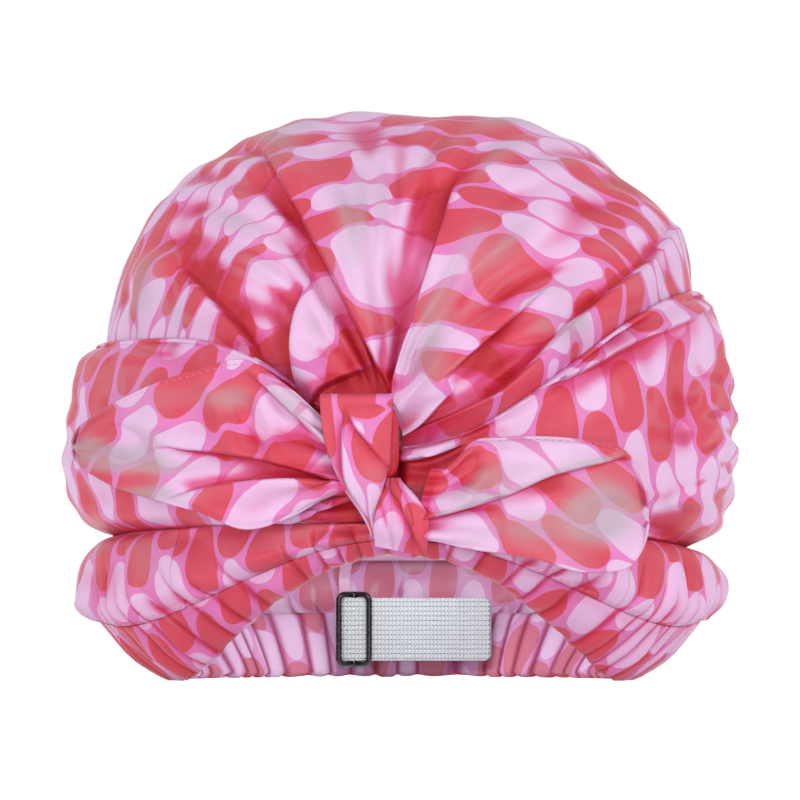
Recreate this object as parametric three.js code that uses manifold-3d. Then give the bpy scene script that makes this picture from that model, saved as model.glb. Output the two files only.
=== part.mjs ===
// Turban shower cap: a pleated crown and two wrap rolls drawn into a knot at the front, a lower roll
// gathered on an elastic hem, two bow petals, and a size strap with a wire slide inside the nape.
// Millimetres, +Z up. The knot faces -Y, +X is on the right seen from the front, and the hem stands on z = 0.
import * as THREE from "three";
import { mergeVertices } from "three/addons/utils/BufferGeometryUtils.js";
import Module from "manifold-3d";

const wasm = await Module();
wasm.setup();

// Cloth, and the room that pieces keep from each other.
const clothThickness = 1.2;
const seamGap = 0.35;
const floorCut = 0.5;

// Ovals round the head, from the hem up: the reach to the sides, the front and the back.
const hemOval = { side: 87, front: 90, back: 96 };
const lowerRollOval = { side: 123, front: 104, back: 119 };
const wrapOval = { side: 130, front: 108, back: 120.5 };
// The other ovals lie in from those: the casing's top edge in the lower roll, and the groove over that
// roll and the crown's rim in the wraps.
const casingInset = { side: 4, front: 5, back: 13 };
const grooveInset = { side: 19, front: 10, back: 8.5 };
const crownInset = { side: 16, front: 10, back: 10.5 };
const casingTopOval = inset(lowerRollOval, casingInset);
const grooveOval = inset(wrapOval, grooveInset);
const crownOval = inset(wrapOval, crownInset);

// Heights above the floor, at the sides, the front and the back.
const hemArchHeight = 48;
const casingRise = { side: 24, front: 7, back: 26 };
const grooveHeight = { side: 52, front: 61, back: 50 };
const wrapMiddleHeight = { side: 90, front: 76, back: 84 };
const wrapTopLeft = { side: 130, front: 88, back: 120 };
const wrapTopRight = { side: 150, front: 88, back: 120 };
const crownHeight = 219;
const crownTuck = 12;

const degree = Math.PI / 180;
const archEnd = 72 * degree;
const archPower = 2;
// How suddenly each wrap's edge comes down towards the knot.
const wrapTopPower = { left: 10, right: 3 };
const backSeam = -169 * degree;
const sideSeam = 48 * degree;

const printedSatin = new THREE.MeshStandardMaterial({ color: 0xe27fae, roughness: 0.45, metalness: 0 });
const coralSatin = new THREE.MeshStandardMaterial({ color: 0xd95868, roughness: 0.45, metalness: 0 });
const paleLining = new THREE.MeshStandardMaterial({ color: 0xcf9dbb, roughness: 0.55, metalness: 0 });
const whiteElastic = new THREE.MeshStandardMaterial({ color: 0xeef0f0, roughness: 0.85, metalness: 0 });
const blackWire = new THREE.MeshStandardMaterial({ color: 0x141314, roughness: 0.25, metalness: 0.6 });

const lerp = THREE.MathUtils.lerp;
const smooth = (x) => THREE.MathUtils.smoothstep(x, 0, 1);

function inset(oval, by) {
  return { side: oval.side - by.side, front: oval.front - by.front, back: oval.back - by.back };
}

// Azimuth 0 is the front, and it turns towards +X.
function around(azimuth, { side, front, back }, frontPower = 2) {
  const c = Math.cos(azimuth);
  return side + (c > 0 ? (front - side) * c ** frontPower : (back - side) * c * c);
}

function ovalRadius(azimuth, { side, front, back }) {
  const c = Math.cos(azimuth);
  return 1 / Math.hypot(Math.sin(azimuth) / side, c / (c > 0 ? front : back));
}

function onRing(azimuth, radius, height) {
  return new THREE.Vector3(radius * Math.sin(azimuth), -radius * Math.cos(azimuth), height);
}

// A smooth curve through pairs, read from its first pair at 0 to its last at 1.
function readCurve(pairs, share) {
  return new THREE.SplineCurve(pairs.map(([x, y]) => new THREE.Vector2(x, y))).getPoint(share);
}

function readShares(shares, share) {
  return readCurve(shares.map((value, i) => [i, value]), share).y;
}

// Reads pairs of a place and a value, with straight lines between them.
function readAt(pairs, place) {
  const next = pairs.findIndex(([at]) => at > place);
  if (next < 0) return pairs.at(-1)[1];
  if (next === 0) return pairs[0][1];
  const [[from, low], [to, high]] = [pairs[next - 1], pairs[next]];
  return lerp(low, high, (place - from) / (to - from));
}

// Bends a flat slab, whose thickness lies along z, so that its middle follows form(x, y).
function drape(slab, form, thickness) {
  slab.deleteAttribute("normal");
  slab.deleteAttribute("uv");
  const cloth = mergeVertices(slab, 1e-5);
  const place = cloth.attributes.position;
  const step = 1e-3;
  for (let i = 0; i < place.count; i++) {
    const [x, y, side] = [place.getX(i), place.getY(i), place.getZ(i)];
    const alongX = form(x + step, y).sub(form(x - step, y));
    const alongY = form(x, y + step).sub(form(x, y - step));
    const outward = alongX.cross(alongY).normalize();
    const p = form(x, y).addScaledVector(outward, side * thickness);
    place.setXYZ(i, p.x, p.y, p.z);
  }
  return cloth;
}

// A strip of cloth. Seen from outside, u runs from 0 to 1 to the right, and v from 0 to 1 upwards.
function strip(uSteps, vSteps, form, thickness = clothThickness) {
  const share = (x) => THREE.MathUtils.clamp(x + 0.5, 0, 1);
  const slab = new THREE.BoxGeometry(1, 1, 1, uSteps, vSteps, 1);
  return drape(slab, (x, y) => form(share(x), share(y)), thickness);
}

// A round of cloth, over the unit disc whose front is at y = -1.
function round(spokes, rings, form, thickness = clothThickness) {
  const radii = Array.from({ length: rings + 1 }, (_, i) => i / rings);
  const under = radii.map((radius) => new THREE.Vector2(radius, -0.5));
  const over = radii.map((radius) => new THREE.Vector2(radius, 0.5)).reverse();
  const slab = new THREE.LatheGeometry([...under, ...over], spokes).rotateX(Math.PI / 2);
  return drape(slab, (x, y) => form(new THREE.Vector2(x, y)), thickness);
}

function toSolid(geometry) {
  const bare = geometry.clone();
  bare.deleteAttribute("normal");
  bare.deleteAttribute("uv");
  const merged = mergeVertices(bare, 1e-4);
  const vertProperties = merged.attributes.position.array;
  const triVerts = new Uint32Array(merged.index.array);
  return new wasm.Manifold(new wasm.Mesh({ numProp: 3, vertProperties, triVerts }));
}

function toGeometry(solid) {
  const mesh = solid.getMesh();
  const geometry = new THREE.BufferGeometry();
  geometry.setAttribute("position", new THREE.BufferAttribute(mesh.vertProperties, 3));
  geometry.setIndex(new THREE.BufferAttribute(mesh.triVerts, 1));
  return geometry;
}

// Cuts off what lies below the floor, so that the hem stands on a flat foot.
function standOnFloor(geometry) {
  const size = 3 * wrapOval.side;
  const below = new THREE.BoxGeometry(size, size, size).translate(0, 0, -size / 2);
  return toGeometry(toSolid(geometry).subtract(toSolid(below)));
}

const cap = new THREE.Group();

function add(name, geometry, material) {
  geometry.computeVertexNormals();
  const mesh = new THREE.Mesh(geometry, material);
  mesh.name = name;
  cap.add(mesh);
}

// Crown: a dome over a disc of cloth. The middle of the disc is the top of the head, its rim is tucked
// behind the wrap rolls, and the cloth is drawn in to a gathering point behind the knot.
const crownFullness = 0.87;
const crownRays = 46;
const crownRounds = 12;
const pleatRise = 9;
const pleatFallDegrees = 9;
const gatherShares = new THREE.Vector2(-0.05, -0.95);
const knotAzimuth = -7 * degree;
const crownOpening = { left: -21 * degree, right: 15 * degree };
// Rays from the gathering point are named by their degrees from straight back, to the right.
// How far from that point the cloth ends and the pleats start, by the ray.
const crownEdgeShares = [[-92, 0.14], [-60, 0.06], [60, 0.05], [95, 0.07]];
const pleatStartShares = [[-92, 0.24], [-78, 0.21], [-53, 0.14], [-22, 0.11], [10, 0.09], [95, 0.1]];
// Each pleat: its ray at some distances from the gathering point, which side lies on top, 1 for the right,
// over how many degrees that side slopes down, and its rise from its first distance to its last.
const pleatShares = [
  { over: -1, slope: 26, rises: [0.4, 0.6, 0.5, 0], rays: [[0.34, -82], [0.5, -68], [0.66, -59], [0.86, -41]] },
  { over: 1, slope: 34, rises: [0.5, 1, 0.9, 0], rays: [[0.08, -11], [0.15, -30], [0.33, -33], [1, -12]] },
  { over: 1, slope: 30, rises: [0.6, 0.9, 0.5, 0], rays: [[0.07, 25], [0.16, 28], [0.42, 23], [0.88, 14]] },
  { over: -1, slope: 14, rises: [0, 0.35, 0], rays: [[0.16, 68], [0.34, 67], [0.62, 60], [0.79, 55]] },
  { over: 1, slope: 14, rises: [0.3, 0.8, 0.6, 0], rays: [[0.15, 88], [0.36, 76], [0.67, 66], [1.17, 44]] },
];

function wrapTop(azimuth) {
  if (Math.sin(azimuth) < 0) return around(azimuth, wrapTopLeft, wrapTopPower.left);
  return around(azimuth, wrapTopRight, wrapTopPower.right);
}

function domePoint(disc, oval, base, top) {
  const azimuth = Math.atan2(disc.x, -disc.y);
  const radius = ovalRadius(azimuth, oval);
  const share = disc.length();
  if (share >= 1) return onRing(azimuth, radius, base(azimuth) - (share - 1) * radius);
  const out = Math.sin((share * Math.PI) / 2) ** crownFullness;
  const up = Math.cos((share * Math.PI) / 2) ** crownFullness;
  return onRing(azimuth, radius * out, lerp(base(azimuth), top, up));
}

function crownSurface(disc) {
  return domePoint(disc, crownOval, (azimuth) => wrapTop(azimuth) - crownTuck, crownHeight);
}

// On top the cloth slopes down from the crest, and under it the cloth falls away at once.
function pleatHeight({ rays, over, slope, rises }, distance, ray) {
  const [first, last] = [rays[0][0], rays.at(-1)[0]];
  if (distance <= first || distance >= last) return 0;
  const across = (ray - readAt(rays, distance)) * over;
  const ridge = smooth(1 + (across < 0 ? across / pleatFallDegrees : -across / slope));
  return pleatRise * ridge * readShares(rises, (distance - first) / (last - first));
}

function pleatsHeight(disc) {
  const away = disc.clone().sub(gatherShares);
  const distance = away.length();
  const ray = Math.atan2(away.x, away.y) / degree;
  const fromKnot = Math.abs(Math.atan2(disc.x, -disc.y) - knotAzimuth) / degree;
  const rim = lerp(1, smooth((0.94 - disc.length()) / 0.09), smooth((fromKnot - 4) / 4));
  const drawnIn = smooth((distance - readAt(pleatStartShares, ray)) / 0.12);
  return pleatShares.reduce((sum, pleat) => sum + pleatHeight(pleat, distance, ray), 0) * rim * drawnIn;
}

function crownCloth(u, v) {
  const azimuth = lerp(2 * Math.PI + crownOpening.left, crownOpening.right, u);
  const ray = new THREE.Vector2(Math.sin(azimuth), -Math.cos(azimuth)).sub(gatherShares);
  const reach = ray.length();
  const end = readAt(crownEdgeShares, Math.atan2(ray.x, ray.y) / degree);
  const disc = ray.multiplyScalar(lerp(end, reach, 1 - v ** 0.8) / reach).add(gatherShares);
  const point = crownSurface(disc);
  const away = point.clone().sub(new THREE.Vector3(0, 0, grooveHeight.side)).normalize();
  return point.addScaledVector(away, pleatsHeight(disc));
}

add("crown_panel", strip(crownRays, crownRounds, crownCloth), printedSatin);

// Lining: a plain dome inside the crown, down to the groove.
const liningSpokes = 32;
const liningRings = 8;
const liningDrop = 3;
const liningInset = clothThickness + seamGap;
const liningOval = inset(grooveOval, { side: liningInset, front: liningInset, back: liningInset });

function liningCloth(disc) {
  const top = crownHeight - liningInset;
  return domePoint(disc, liningOval, (azimuth) => around(azimuth, grooveHeight) - liningDrop, top);
}

add("lining", round(liningSpokes, liningRings, liningCloth), paleLining);

// Wrap rolls: each runs from the knot round its side of the head to the seam at the back.
const wrapSteps = 28;
const wrapRows = 8;
const wrapFoldDepth = 3;
const wrapStart = { left: -14.5 * degree, right: 0 };
const seamHalfAngle = Math.asin(seamGap / 2 / hemOval.back);
const seamLeft = backSeam + seamHalfAngle;
const seamRight = backSeam - seamHalfAngle + 2 * Math.PI;

function wrapCloth(azimuth, v) {
  const lip = ovalRadius(azimuth, crownOval) + clothThickness + seamGap;
  const groove = ovalRadius(azimuth, grooveOval);
  const widest = ovalRadius(azimuth, wrapOval);
  const low = around(azimuth, grooveHeight);
  const middle = around(azimuth, wrapMiddleHeight);
  const top = wrapTop(azimuth);
  const profile = [
    [groove, low],
    [lerp(groove, widest, 0.72), lerp(low, middle, 0.3)],
    [widest, middle],
    [lerp(lip, widest, 0.66), lerp(middle, top, 0.76)],
    [lip, top],
  ];
  const at = readCurve(profile, v);
  const gathered = 1 - smooth((Math.abs(azimuth) / degree - 10) / 75);
  const fold = wrapFoldDepth * gathered * Math.sin(6 * Math.PI * v) * Math.sin(Math.PI * v);
  return onRing(azimuth, at.x + fold, at.y);
}

const leftWrap = (u, v) => wrapCloth(lerp(seamLeft, wrapStart.left, u ** 0.9), v);
const rightWrap = (u, v) => wrapCloth(lerp(wrapStart.right, seamRight, u ** 1.1), v);
add("wrap_roll_left", strip(wrapSteps, wrapRows, leftWrap), printedSatin);
add("wrap_roll_right", strip(wrapSteps, wrapRows, rightWrap), printedSatin);

// Casing: the hem folded up inside, round the elastic. Its profile goes down outside and up inside.
const elasticThickness = 1.3;
const elasticRoom = 0.55;
const casingSpacing = clothThickness + elasticThickness + 2 * elasticRoom;
const casingSteps = 64;
const casingRows = 8;
const gatherDepth = 1.4;
const gathersPerTurn = 16;

function hemHeight(azimuth) {
  const rise = (Math.cos(azimuth) - Math.cos(archEnd)) / (1 - Math.cos(archEnd));
  return hemArchHeight * Math.max(0, rise) ** archPower;
}

function casingProfile(azimuth) {
  const foot = new THREE.Vector2(
    ovalRadius(azimuth, hemOval),
    hemHeight(azimuth) + (casingSpacing + clothThickness) / 2 - floorCut,
  );
  const top = new THREE.Vector2(
    ovalRadius(azimuth, casingTopOval),
    hemHeight(azimuth) + around(azimuth, casingRise),
  );
  const up = top.clone().sub(foot).normalize();
  return { foot, top, up, outward: new THREE.Vector2(up.y, -up.x) };
}

// The gathers stand out by up to their depth.
function gather(azimuth) {
  return (gatherDepth * (1 - Math.cos(gathersPerTurn * (azimuth - backSeam)))) / 2;
}

function casingCloth(azimuth, v) {
  const { foot, top, up, outward } = casingProfile(azimuth);
  const half = casingSpacing / 2;
  const at = (from, across, along) => {
    const p = from.clone().addScaledVector(outward, across).addScaledVector(up, along);
    return [p.x, p.y];
  };
  const middle = foot.clone().lerp(top, 0.5);
  const lipGap = clothThickness + seamGap - half;
  const profile = [
    at(top, -lipGap, 0),
    at(top, -half, -2 * half),
    at(middle, -half, 0),
    at(foot, -half, half / 2),
    [foot.x - half / 2, foot.y - half],
    [foot.x + half / 2, foot.y - half],
    at(foot, half, half / 2),
    at(middle, half + gather(azimuth), 0),
    at(top, half, 0),
  ];
  const p = readCurve(profile, v);
  return onRing(azimuth, p.x, p.y);
}

// The profile starts on the inside, so its strip runs the other way round the head.
const casingRing = strip(casingSteps, casingRows, (u, v) => casingCloth(lerp(seamLeft, seamRight, u), v));
add("hem_casing", standOnFloor(casingRing), printedSatin);

// Elastic in the casing, open at the back seam.
const elasticMargin = 2.3;
const elasticWidth = 4.2;
const elasticEndAngle = (seamRight - seamLeft) / casingSteps;

function elasticBand(azimuth, v) {
  const { foot, up } = casingProfile(azimuth);
  const p = foot.clone().addScaledVector(up, elasticMargin + elasticWidth * v);
  return onRing(azimuth, p.x, p.y);
}

const elasticRing = (u, v) => elasticBand(lerp(seamLeft + elasticEndAngle, seamRight - elasticEndAngle, u), v);
add("hem_elastic", strip(casingSteps - 2, 2, elasticRing, elasticThickness), whiteElastic);

// Lower roll: three panels between the casing and the wraps, puffed out over the gathered edge.
const lowerRollRise = { side: 35, front: 58, back: 37 };
const lowerRows = 6;
const puffShare = 2.2;
const lowerSteps = { front: 24, left: 24, right: 29 };
const sideSeamGap = seamGap / hemOval.side;

function lowerRollCloth(azimuth, v) {
  const { top, up, outward } = casingProfile(azimuth);
  const start = top.clone().addScaledVector(outward, casingSpacing / 2);
  start.addScaledVector(up, seamGap + clothThickness / 2);
  const widest = ovalRadius(azimuth, lowerRollOval);
  const middle = around(azimuth, lowerRollRise);
  const groove = ovalRadius(azimuth, grooveOval);
  const end = around(azimuth, grooveHeight) - clothThickness - seamGap / 2;
  const profile = [
    [start.x, start.y],
    [lerp(start.x, widest, 0.72), lerp(start.y, middle, 0.4)],
    [widest, middle],
    [lerp(groove, widest, 0.68), lerp(middle, end, 0.7)],
    [groove, end],
  ];
  const p = readCurve(profile, v);
  return onRing(azimuth, p.x + puffShare * gather(azimuth) * Math.sin(Math.PI * v) * (1 - v), p.y);
}

const lowerPanels = {
  hem_front: [-sideSeam, sideSeam, lowerSteps.front],
  hem_left: [seamLeft, -sideSeam - sideSeamGap, lowerSteps.left],
  hem_right: [sideSeam + sideSeamGap, seamRight, lowerSteps.right],
};
for (const [name, [from, to, steps]] of Object.entries(lowerPanels))
  add(name, strip(steps, lowerRows, (u, v) => lowerRollCloth(lerp(from, to, u), v)), printedSatin);

// Knot: a core of gathered cloth, a band folded down over it, and the end that comes out at its right.
const knotX = -12;
const knotTop = 107;
const knotFoot = 55;
const knotBack = 99.3;
const coreHalf = { x: 11.8, y: 8.5, z: 13 };
const coreHeight = 89.4;
const coreRoundness = 0.48;
const bandWidth = 27;
const bandDepth = knotBack + 2 * coreHalf.y - wrapOval.front + clothThickness / 2 + seamGap;
const bandSteps = { across: 8, along: 12 };
// From the foot of the band to its top: its left and right edges, and how far it stands out.
const bandLeftShares = [0.06, -0.1, -0.33, -0.48, -0.58, -0.63, -0.65];
const bandRightShares = [0.11, 0.12, 0.2, 0.28, 0.31, 0.33, 0.34];
const bandDepthShares = [0.2, 0.72, 0.95, 1, 1, 0.92, 0.42];

function coreGeometry() {
  const core = new THREE.SphereGeometry(1, 28, 14).rotateX(Math.PI / 2);
  const place = core.attributes.position;
  const squarer = (x) => Math.sign(x) * Math.abs(x) ** coreRoundness;
  for (let i = 0; i < place.count; i++)
    place.setXYZ(i, squarer(place.getX(i)), squarer(place.getY(i)), squarer(place.getZ(i)));
  core.scale(coreHalf.x, coreHalf.y, coreHalf.z).translate(knotX, -knotBack - coreHalf.y, coreHeight);
  return toGeometry(toSolid(core));
}

function bandCloth(u, v) {
  const left = knotX + bandWidth * readShares(bandLeftShares, v);
  const right = knotX + bandWidth * readShares(bandRightShares, v);
  const ridge = Math.abs(Math.sin(2.5 * Math.PI * u + 1.2 * v)) * clothThickness;
  const round = (Math.sin(Math.PI * u) * clothThickness) / 2;
  const depth = bandDepth * readShares(bandDepthShares, v) + ridge + round;
  return new THREE.Vector3(lerp(left, right, u), -wrapOval.front - depth, lerp(knotFoot, knotTop, v));
}

add("knot_core", coreGeometry(), coralSatin);
add("knot_wrap", strip(bandSteps.across, bandSteps.along, bandCloth), printedSatin);

const endPiece = { width: 16.5, top: 76, foot: 47, depth: 9.6 };
const endLeftShares = [-0.08, -0.11, -0.06, 0.07, 0.16];
const endRightShares = [1.05, 1.08, 1.08, 0.82, 0.45];
const endDepthShares = [0.15, 0.75, 1, 0.85, 0.3];

function endCloth(u, v) {
  const side = knotX + 0.16 * bandWidth;
  const x = side + endPiece.width * lerp(readShares(endLeftShares, v), readShares(endRightShares, v), u);
  const ridge = Math.abs(Math.sin(2 * Math.PI * u)) * clothThickness;
  const depth = endPiece.depth * readShares(endDepthShares, v) + ridge;
  return new THREE.Vector3(x, -wrapOval.front - depth, lerp(endPiece.foot, endPiece.top, v));
}

add("knot_tail", strip(8, 8, endCloth), printedSatin);

// Bow petals: cupped leaves of doubled cloth that stand off the wraps, from the knot to a soft tip.
const petalThickness = 2.2;
const petalSteps = { along: 14, across: 8 };
const petalCup = 5;
const petalFold = 2.4;
// How far each tip stays in from the side of the wraps.
const petalTipInset = { left: 5.8, right: 37.3 };
const leftPetal = {
  root: { x: -24.2, z: 84 },
  tipX: petalTipInset.left - wrapOval.side,
  height: 61,
  upperShares: [0.21, 0.42, 0.58, 0.54, 0.45, 0.3, 0.1],
  lowerShares: [-0.23, -0.36, -0.43, -0.34, -0.25, -0.16, 0.03],
  standOffShares: [0.05, 0.07, 0.09, 0.11, 0.14, 0.18, 0.23],
};
const rightPetal = {
  root: { x: 11.2, z: 66 },
  tipX: wrapOval.side - petalTipInset.right,
  height: 52,
  upperShares: [0.26, 0.45, 0.48, 0.49, 0.475, 0.38, 0.03],
  lowerShares: [-0.25, -0.31, -0.345, -0.39, -0.46, -0.39, -0.12],
  standOffShares: [0.095, 0.12, 0.14, 0.15, 0.17, 0.19, 0.2],
};

function petalCloth(petal, along, v) {
  const reach = petal.tipX - petal.root.x;
  const x = petal.root.x + reach * along;
  const upper = readShares(petal.upperShares, along);
  const lower = readShares(petal.lowerShares, along);
  const z = petal.root.z + petal.height * lerp(lower, upper, v);
  const surface = wrapOval.front * Math.sqrt(1 - (x / wrapOval.side) ** 2);
  const standOff = Math.abs(reach) * readShares(petal.standOffShares, along);
  const rim = (2 * v - 1) ** 2 * smooth(3 * along);
  const crease = Math.sin(5 * Math.PI * v) * (1 - along) * smooth(4 * along);
  return new THREE.Vector3(x, -surface - standOff - petalCup * rim - petalFold * crease, z);
}

const leftPetalCloth = (u, v) => petalCloth(leftPetal, 1 - u, v);
const rightPetalCloth = (u, v) => petalCloth(rightPetal, u, v);
const petalSlab = (form) => strip(petalSteps.along, petalSteps.across, form, petalThickness);
add("bow_petal_left", petalSlab(leftPetalCloth), printedSatin);
add("bow_petal_right", petalSlab(rightPetalCloth), printedSatin);

// Size strap: flat elastic across the inside of the nape. Its left end goes back to the seam of the
// casing, and its right end is folded under.
const strapWidth = 25;
const strapMiddle = 19.3;
const strapY = 80.3;
const strapLeft = -24;
const strapRight = 36;
const strapTail = 15;
const strapFoldGap = 0.5;
const strapBend = 4;

// The strap's lower edge stops short of the inside of the casing.
function strapEndY() {
  const { foot, top, up } = casingProfile(Math.atan2(strapLeft, -hemOval.back));
  const share = (strapMiddle - strapWidth / 2 - foot.y) / (top.y - foot.y);
  const inside = lerp(foot.x, top.x, share) - (casingSpacing + clothThickness) / 2 / up.y;
  const outermost = strapLeft - strapBend / 4 - elasticThickness / 2;
  return Math.sqrt((inside - seamGap) ** 2 - outermost ** 2);
}

function strapLine() {
  const fold = (elasticThickness + strapFoldGap) / 2;
  const bend = new THREE.Path().moveTo(strapLeft - strapBend / 4, strapEndY());
  bend.lineTo(strapLeft - strapBend / 4, strapY + strapBend);
  bend.quadraticCurveTo(strapLeft, strapY, strapLeft + strapBend, strapY);
  for (let i = 1; i <= 6; i++) bend.lineTo(lerp(strapLeft + strapBend, strapRight - fold, i / 6), strapY);
  bend.absarc(strapRight - fold, strapY + fold, fold, -Math.PI / 2, Math.PI / 2);
  bend.lineTo(strapRight - strapTail, strapY + 2 * fold);
  return bend.getPoints(8);
}

const strapPoints = strapLine();

function strapCloth(u, v) {
  const at = u * (strapPoints.length - 1);
  const i = Math.min(Math.floor(at), strapPoints.length - 2);
  const p = strapPoints[i].clone().lerp(strapPoints[i + 1], at - i);
  return new THREE.Vector3(p.x, p.y, strapMiddle + strapWidth * (v - 0.5));
}

add("adjuster_strap", strip(strapPoints.length - 1, 1, strapCloth, elasticThickness), whiteElastic);

// Slide: a bent wire frame in front of the strap, whose middle bar passes behind it.
const wire = 2.3;
const slideWidth = 14.4;
const slideX = -18.4;
const slideRunGap = 0.35;
const slideCorner = 2.6;
const slideSteps = 56;
const slideSides = 8;
const slideFront = strapY - (elasticThickness + wire) / 2 - slideRunGap;
const slideBack = strapY + (elasticThickness + wire) / 2 + slideRunGap;
const slideHalfHeight = strapWidth / 2 + slideRunGap + wire / 2;

function slideLoop() {
  const [halfWidth, corner] = [(slideWidth - wire) / 2, slideCorner];
  const loop = new THREE.Path().moveTo(-halfWidth + corner, -slideHalfHeight);
  loop.lineTo(halfWidth - corner, -slideHalfHeight);
  loop.absarc(halfWidth - corner, -slideHalfHeight + corner, corner, -Math.PI / 2, 0);
  loop.lineTo(halfWidth, slideHalfHeight - corner);
  loop.absarc(halfWidth - corner, slideHalfHeight - corner, corner, 0, Math.PI / 2);
  loop.lineTo(-halfWidth + corner, slideHalfHeight);
  loop.absarc(-halfWidth + corner, slideHalfHeight - corner, corner, Math.PI / 2, Math.PI);
  loop.lineTo(-halfWidth, -slideHalfHeight + corner);
  loop.absarc(-halfWidth + corner, -slideHalfHeight + corner, corner, Math.PI, 1.5 * Math.PI);
  return loop;
}

function slideFrame() {
  const loop = slideLoop();
  const halfWidth = (slideWidth - wire) / 2;
  const tube = new THREE.TorusGeometry(1, 0.25, slideSides, slideSteps);
  const place = tube.attributes.position;
  for (let i = 0; i < place.count; i++) {
    const along = (i % (slideSteps + 1)) / slideSteps;
    const turn = (2 * Math.PI * Math.floor(i / (slideSteps + 1))) / slideSides;
    const p = loop.getPointAt(along % 1);
    const forward = loop.getTangentAt(along % 1);
    const dip = Math.cos((Math.PI * Math.min(1, Math.abs(p.x / halfWidth))) / 2) ** 2;
    const out = (wire / 2) * Math.cos(turn);
    const depth = lerp(slideFront, slideBack, dip) - (wire / 2) * Math.sin(turn);
    place.setXYZ(i, slideX + p.x + forward.y * out, depth, strapMiddle + p.y - forward.x * out);
  }
  return tube;
}

function slideGeometry() {
  const bar = new THREE.CylinderGeometry(wire / 2, wire / 2, 2 * slideHalfHeight, slideSides);
  bar.rotateX(Math.PI / 2).translate(slideX, slideBack, strapMiddle);
  return toGeometry(toSolid(slideFrame()).add(toSolid(bar)));
}

add("slider_buckle", slideGeometry(), blackWire);

// Binding tape over the back seam of the lower roll, on the inside.
const tapeWidth = 5;
const tapeThickness = 1;
const tapeRows = lowerRows - 1;

function tapeCloth(u, v) {
  const azimuth = (across) => backSeam + ((across - 0.5) * tapeWidth) / lowerRollOval.back;
  const height = (v * tapeRows) / lowerRows;
  const step = 1e-3;
  const alongU = lowerRollCloth(azimuth(1), height).sub(lowerRollCloth(azimuth(0), height));
  const lower = lowerRollCloth(backSeam, Math.max(0, height - step));
  const alongV = lowerRollCloth(backSeam, height + step).sub(lower);
  const inward = alongV.cross(alongU).normalize();
  const depth = (clothThickness + tapeThickness) / 2 + seamGap;
  return lowerRollCloth(backSeam, height).addScaledVector(inward, depth).addScaledVector(alongU, u - 0.5);
}

add("seam_binding", strip(1, tapeRows, tapeCloth, tapeThickness), paleLining);

export default cap;
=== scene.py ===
import math

import bmesh
import bpy
import numpy as np
from mathutils import Matrix, Vector


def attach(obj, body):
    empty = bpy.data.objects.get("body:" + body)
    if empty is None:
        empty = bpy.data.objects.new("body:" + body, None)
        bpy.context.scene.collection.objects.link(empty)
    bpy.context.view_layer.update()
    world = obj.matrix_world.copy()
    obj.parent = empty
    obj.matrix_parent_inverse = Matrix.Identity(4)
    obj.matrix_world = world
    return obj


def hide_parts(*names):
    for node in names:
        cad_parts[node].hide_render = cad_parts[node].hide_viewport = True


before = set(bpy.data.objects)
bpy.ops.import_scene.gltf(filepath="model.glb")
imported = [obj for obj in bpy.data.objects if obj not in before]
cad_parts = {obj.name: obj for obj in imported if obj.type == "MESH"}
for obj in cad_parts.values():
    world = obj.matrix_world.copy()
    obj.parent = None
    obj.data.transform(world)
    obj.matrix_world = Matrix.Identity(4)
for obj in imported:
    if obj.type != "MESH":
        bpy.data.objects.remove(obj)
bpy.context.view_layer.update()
print("stage: frame loaded")

mm = 0.001
degree = math.pi / 180

# Camera: level with the knot, far away on a long lens, aimed a little upwards.
camera = {"away": 2.5, "height": 0.03, "aim": 0.1086, "millimetresPerPixel": 0.388, "sensor": 36}


def makeCamera():
    data = bpy.data.cameras.new("camera")
    data.sensor_width = camera["sensor"]
    half = 400 * camera["millimetresPerPixel"] * mm
    data.lens = camera["sensor"] / 2 * camera["away"] / half
    data.clip_end = 20
    eye = bpy.data.objects.new("camera", data)
    bpy.context.scene.collection.objects.link(eye)
    eye.location = (0, -camera["away"], camera["height"])
    tilt = math.atan2(camera["aim"] - camera["height"], camera["away"])
    eye.rotation_euler = (math.pi / 2 + tilt, 0, 0)
    bpy.context.scene.camera = eye


makeCamera()


def operator(operation):
    return lambda self, *others: self.math(operation, *others)


# Shader values: Python's operators on a Value add Math nodes.
class Value:
    def __init__(self, sheet, socket):
        self.sheet = sheet
        self.socket = socket

    def math(self, operation, *others):
        return self.sheet.add("ShaderNodeMath", {"operation": operation}, self, *others)

    def __rsub__(self, other):
        return self.sheet.add("ShaderNodeMath", {"operation": "SUBTRACT"}, other, self)

    __add__ = __radd__ = operator("ADD")
    __sub__ = operator("SUBTRACT")
    __mul__ = __rmul__ = operator("MULTIPLY")
    __truediv__ = operator("DIVIDE")
    __pow__ = operator("POWER")
    __abs__ = operator("ABSOLUTE")
    __mod__ = operator("FLOORED_MODULO")
    floor = operator("FLOOR")
    sin = operator("SINE")

    def between(self, low, high):
        # 0 at low and 1 at high, smooth between them.
        settings = {"interpolation_type": "SMOOTHSTEP", "clamp": True}
        return self.sheet.add("ShaderNodeMapRange", settings, self, low, high, 0.0, 1.0)


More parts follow.
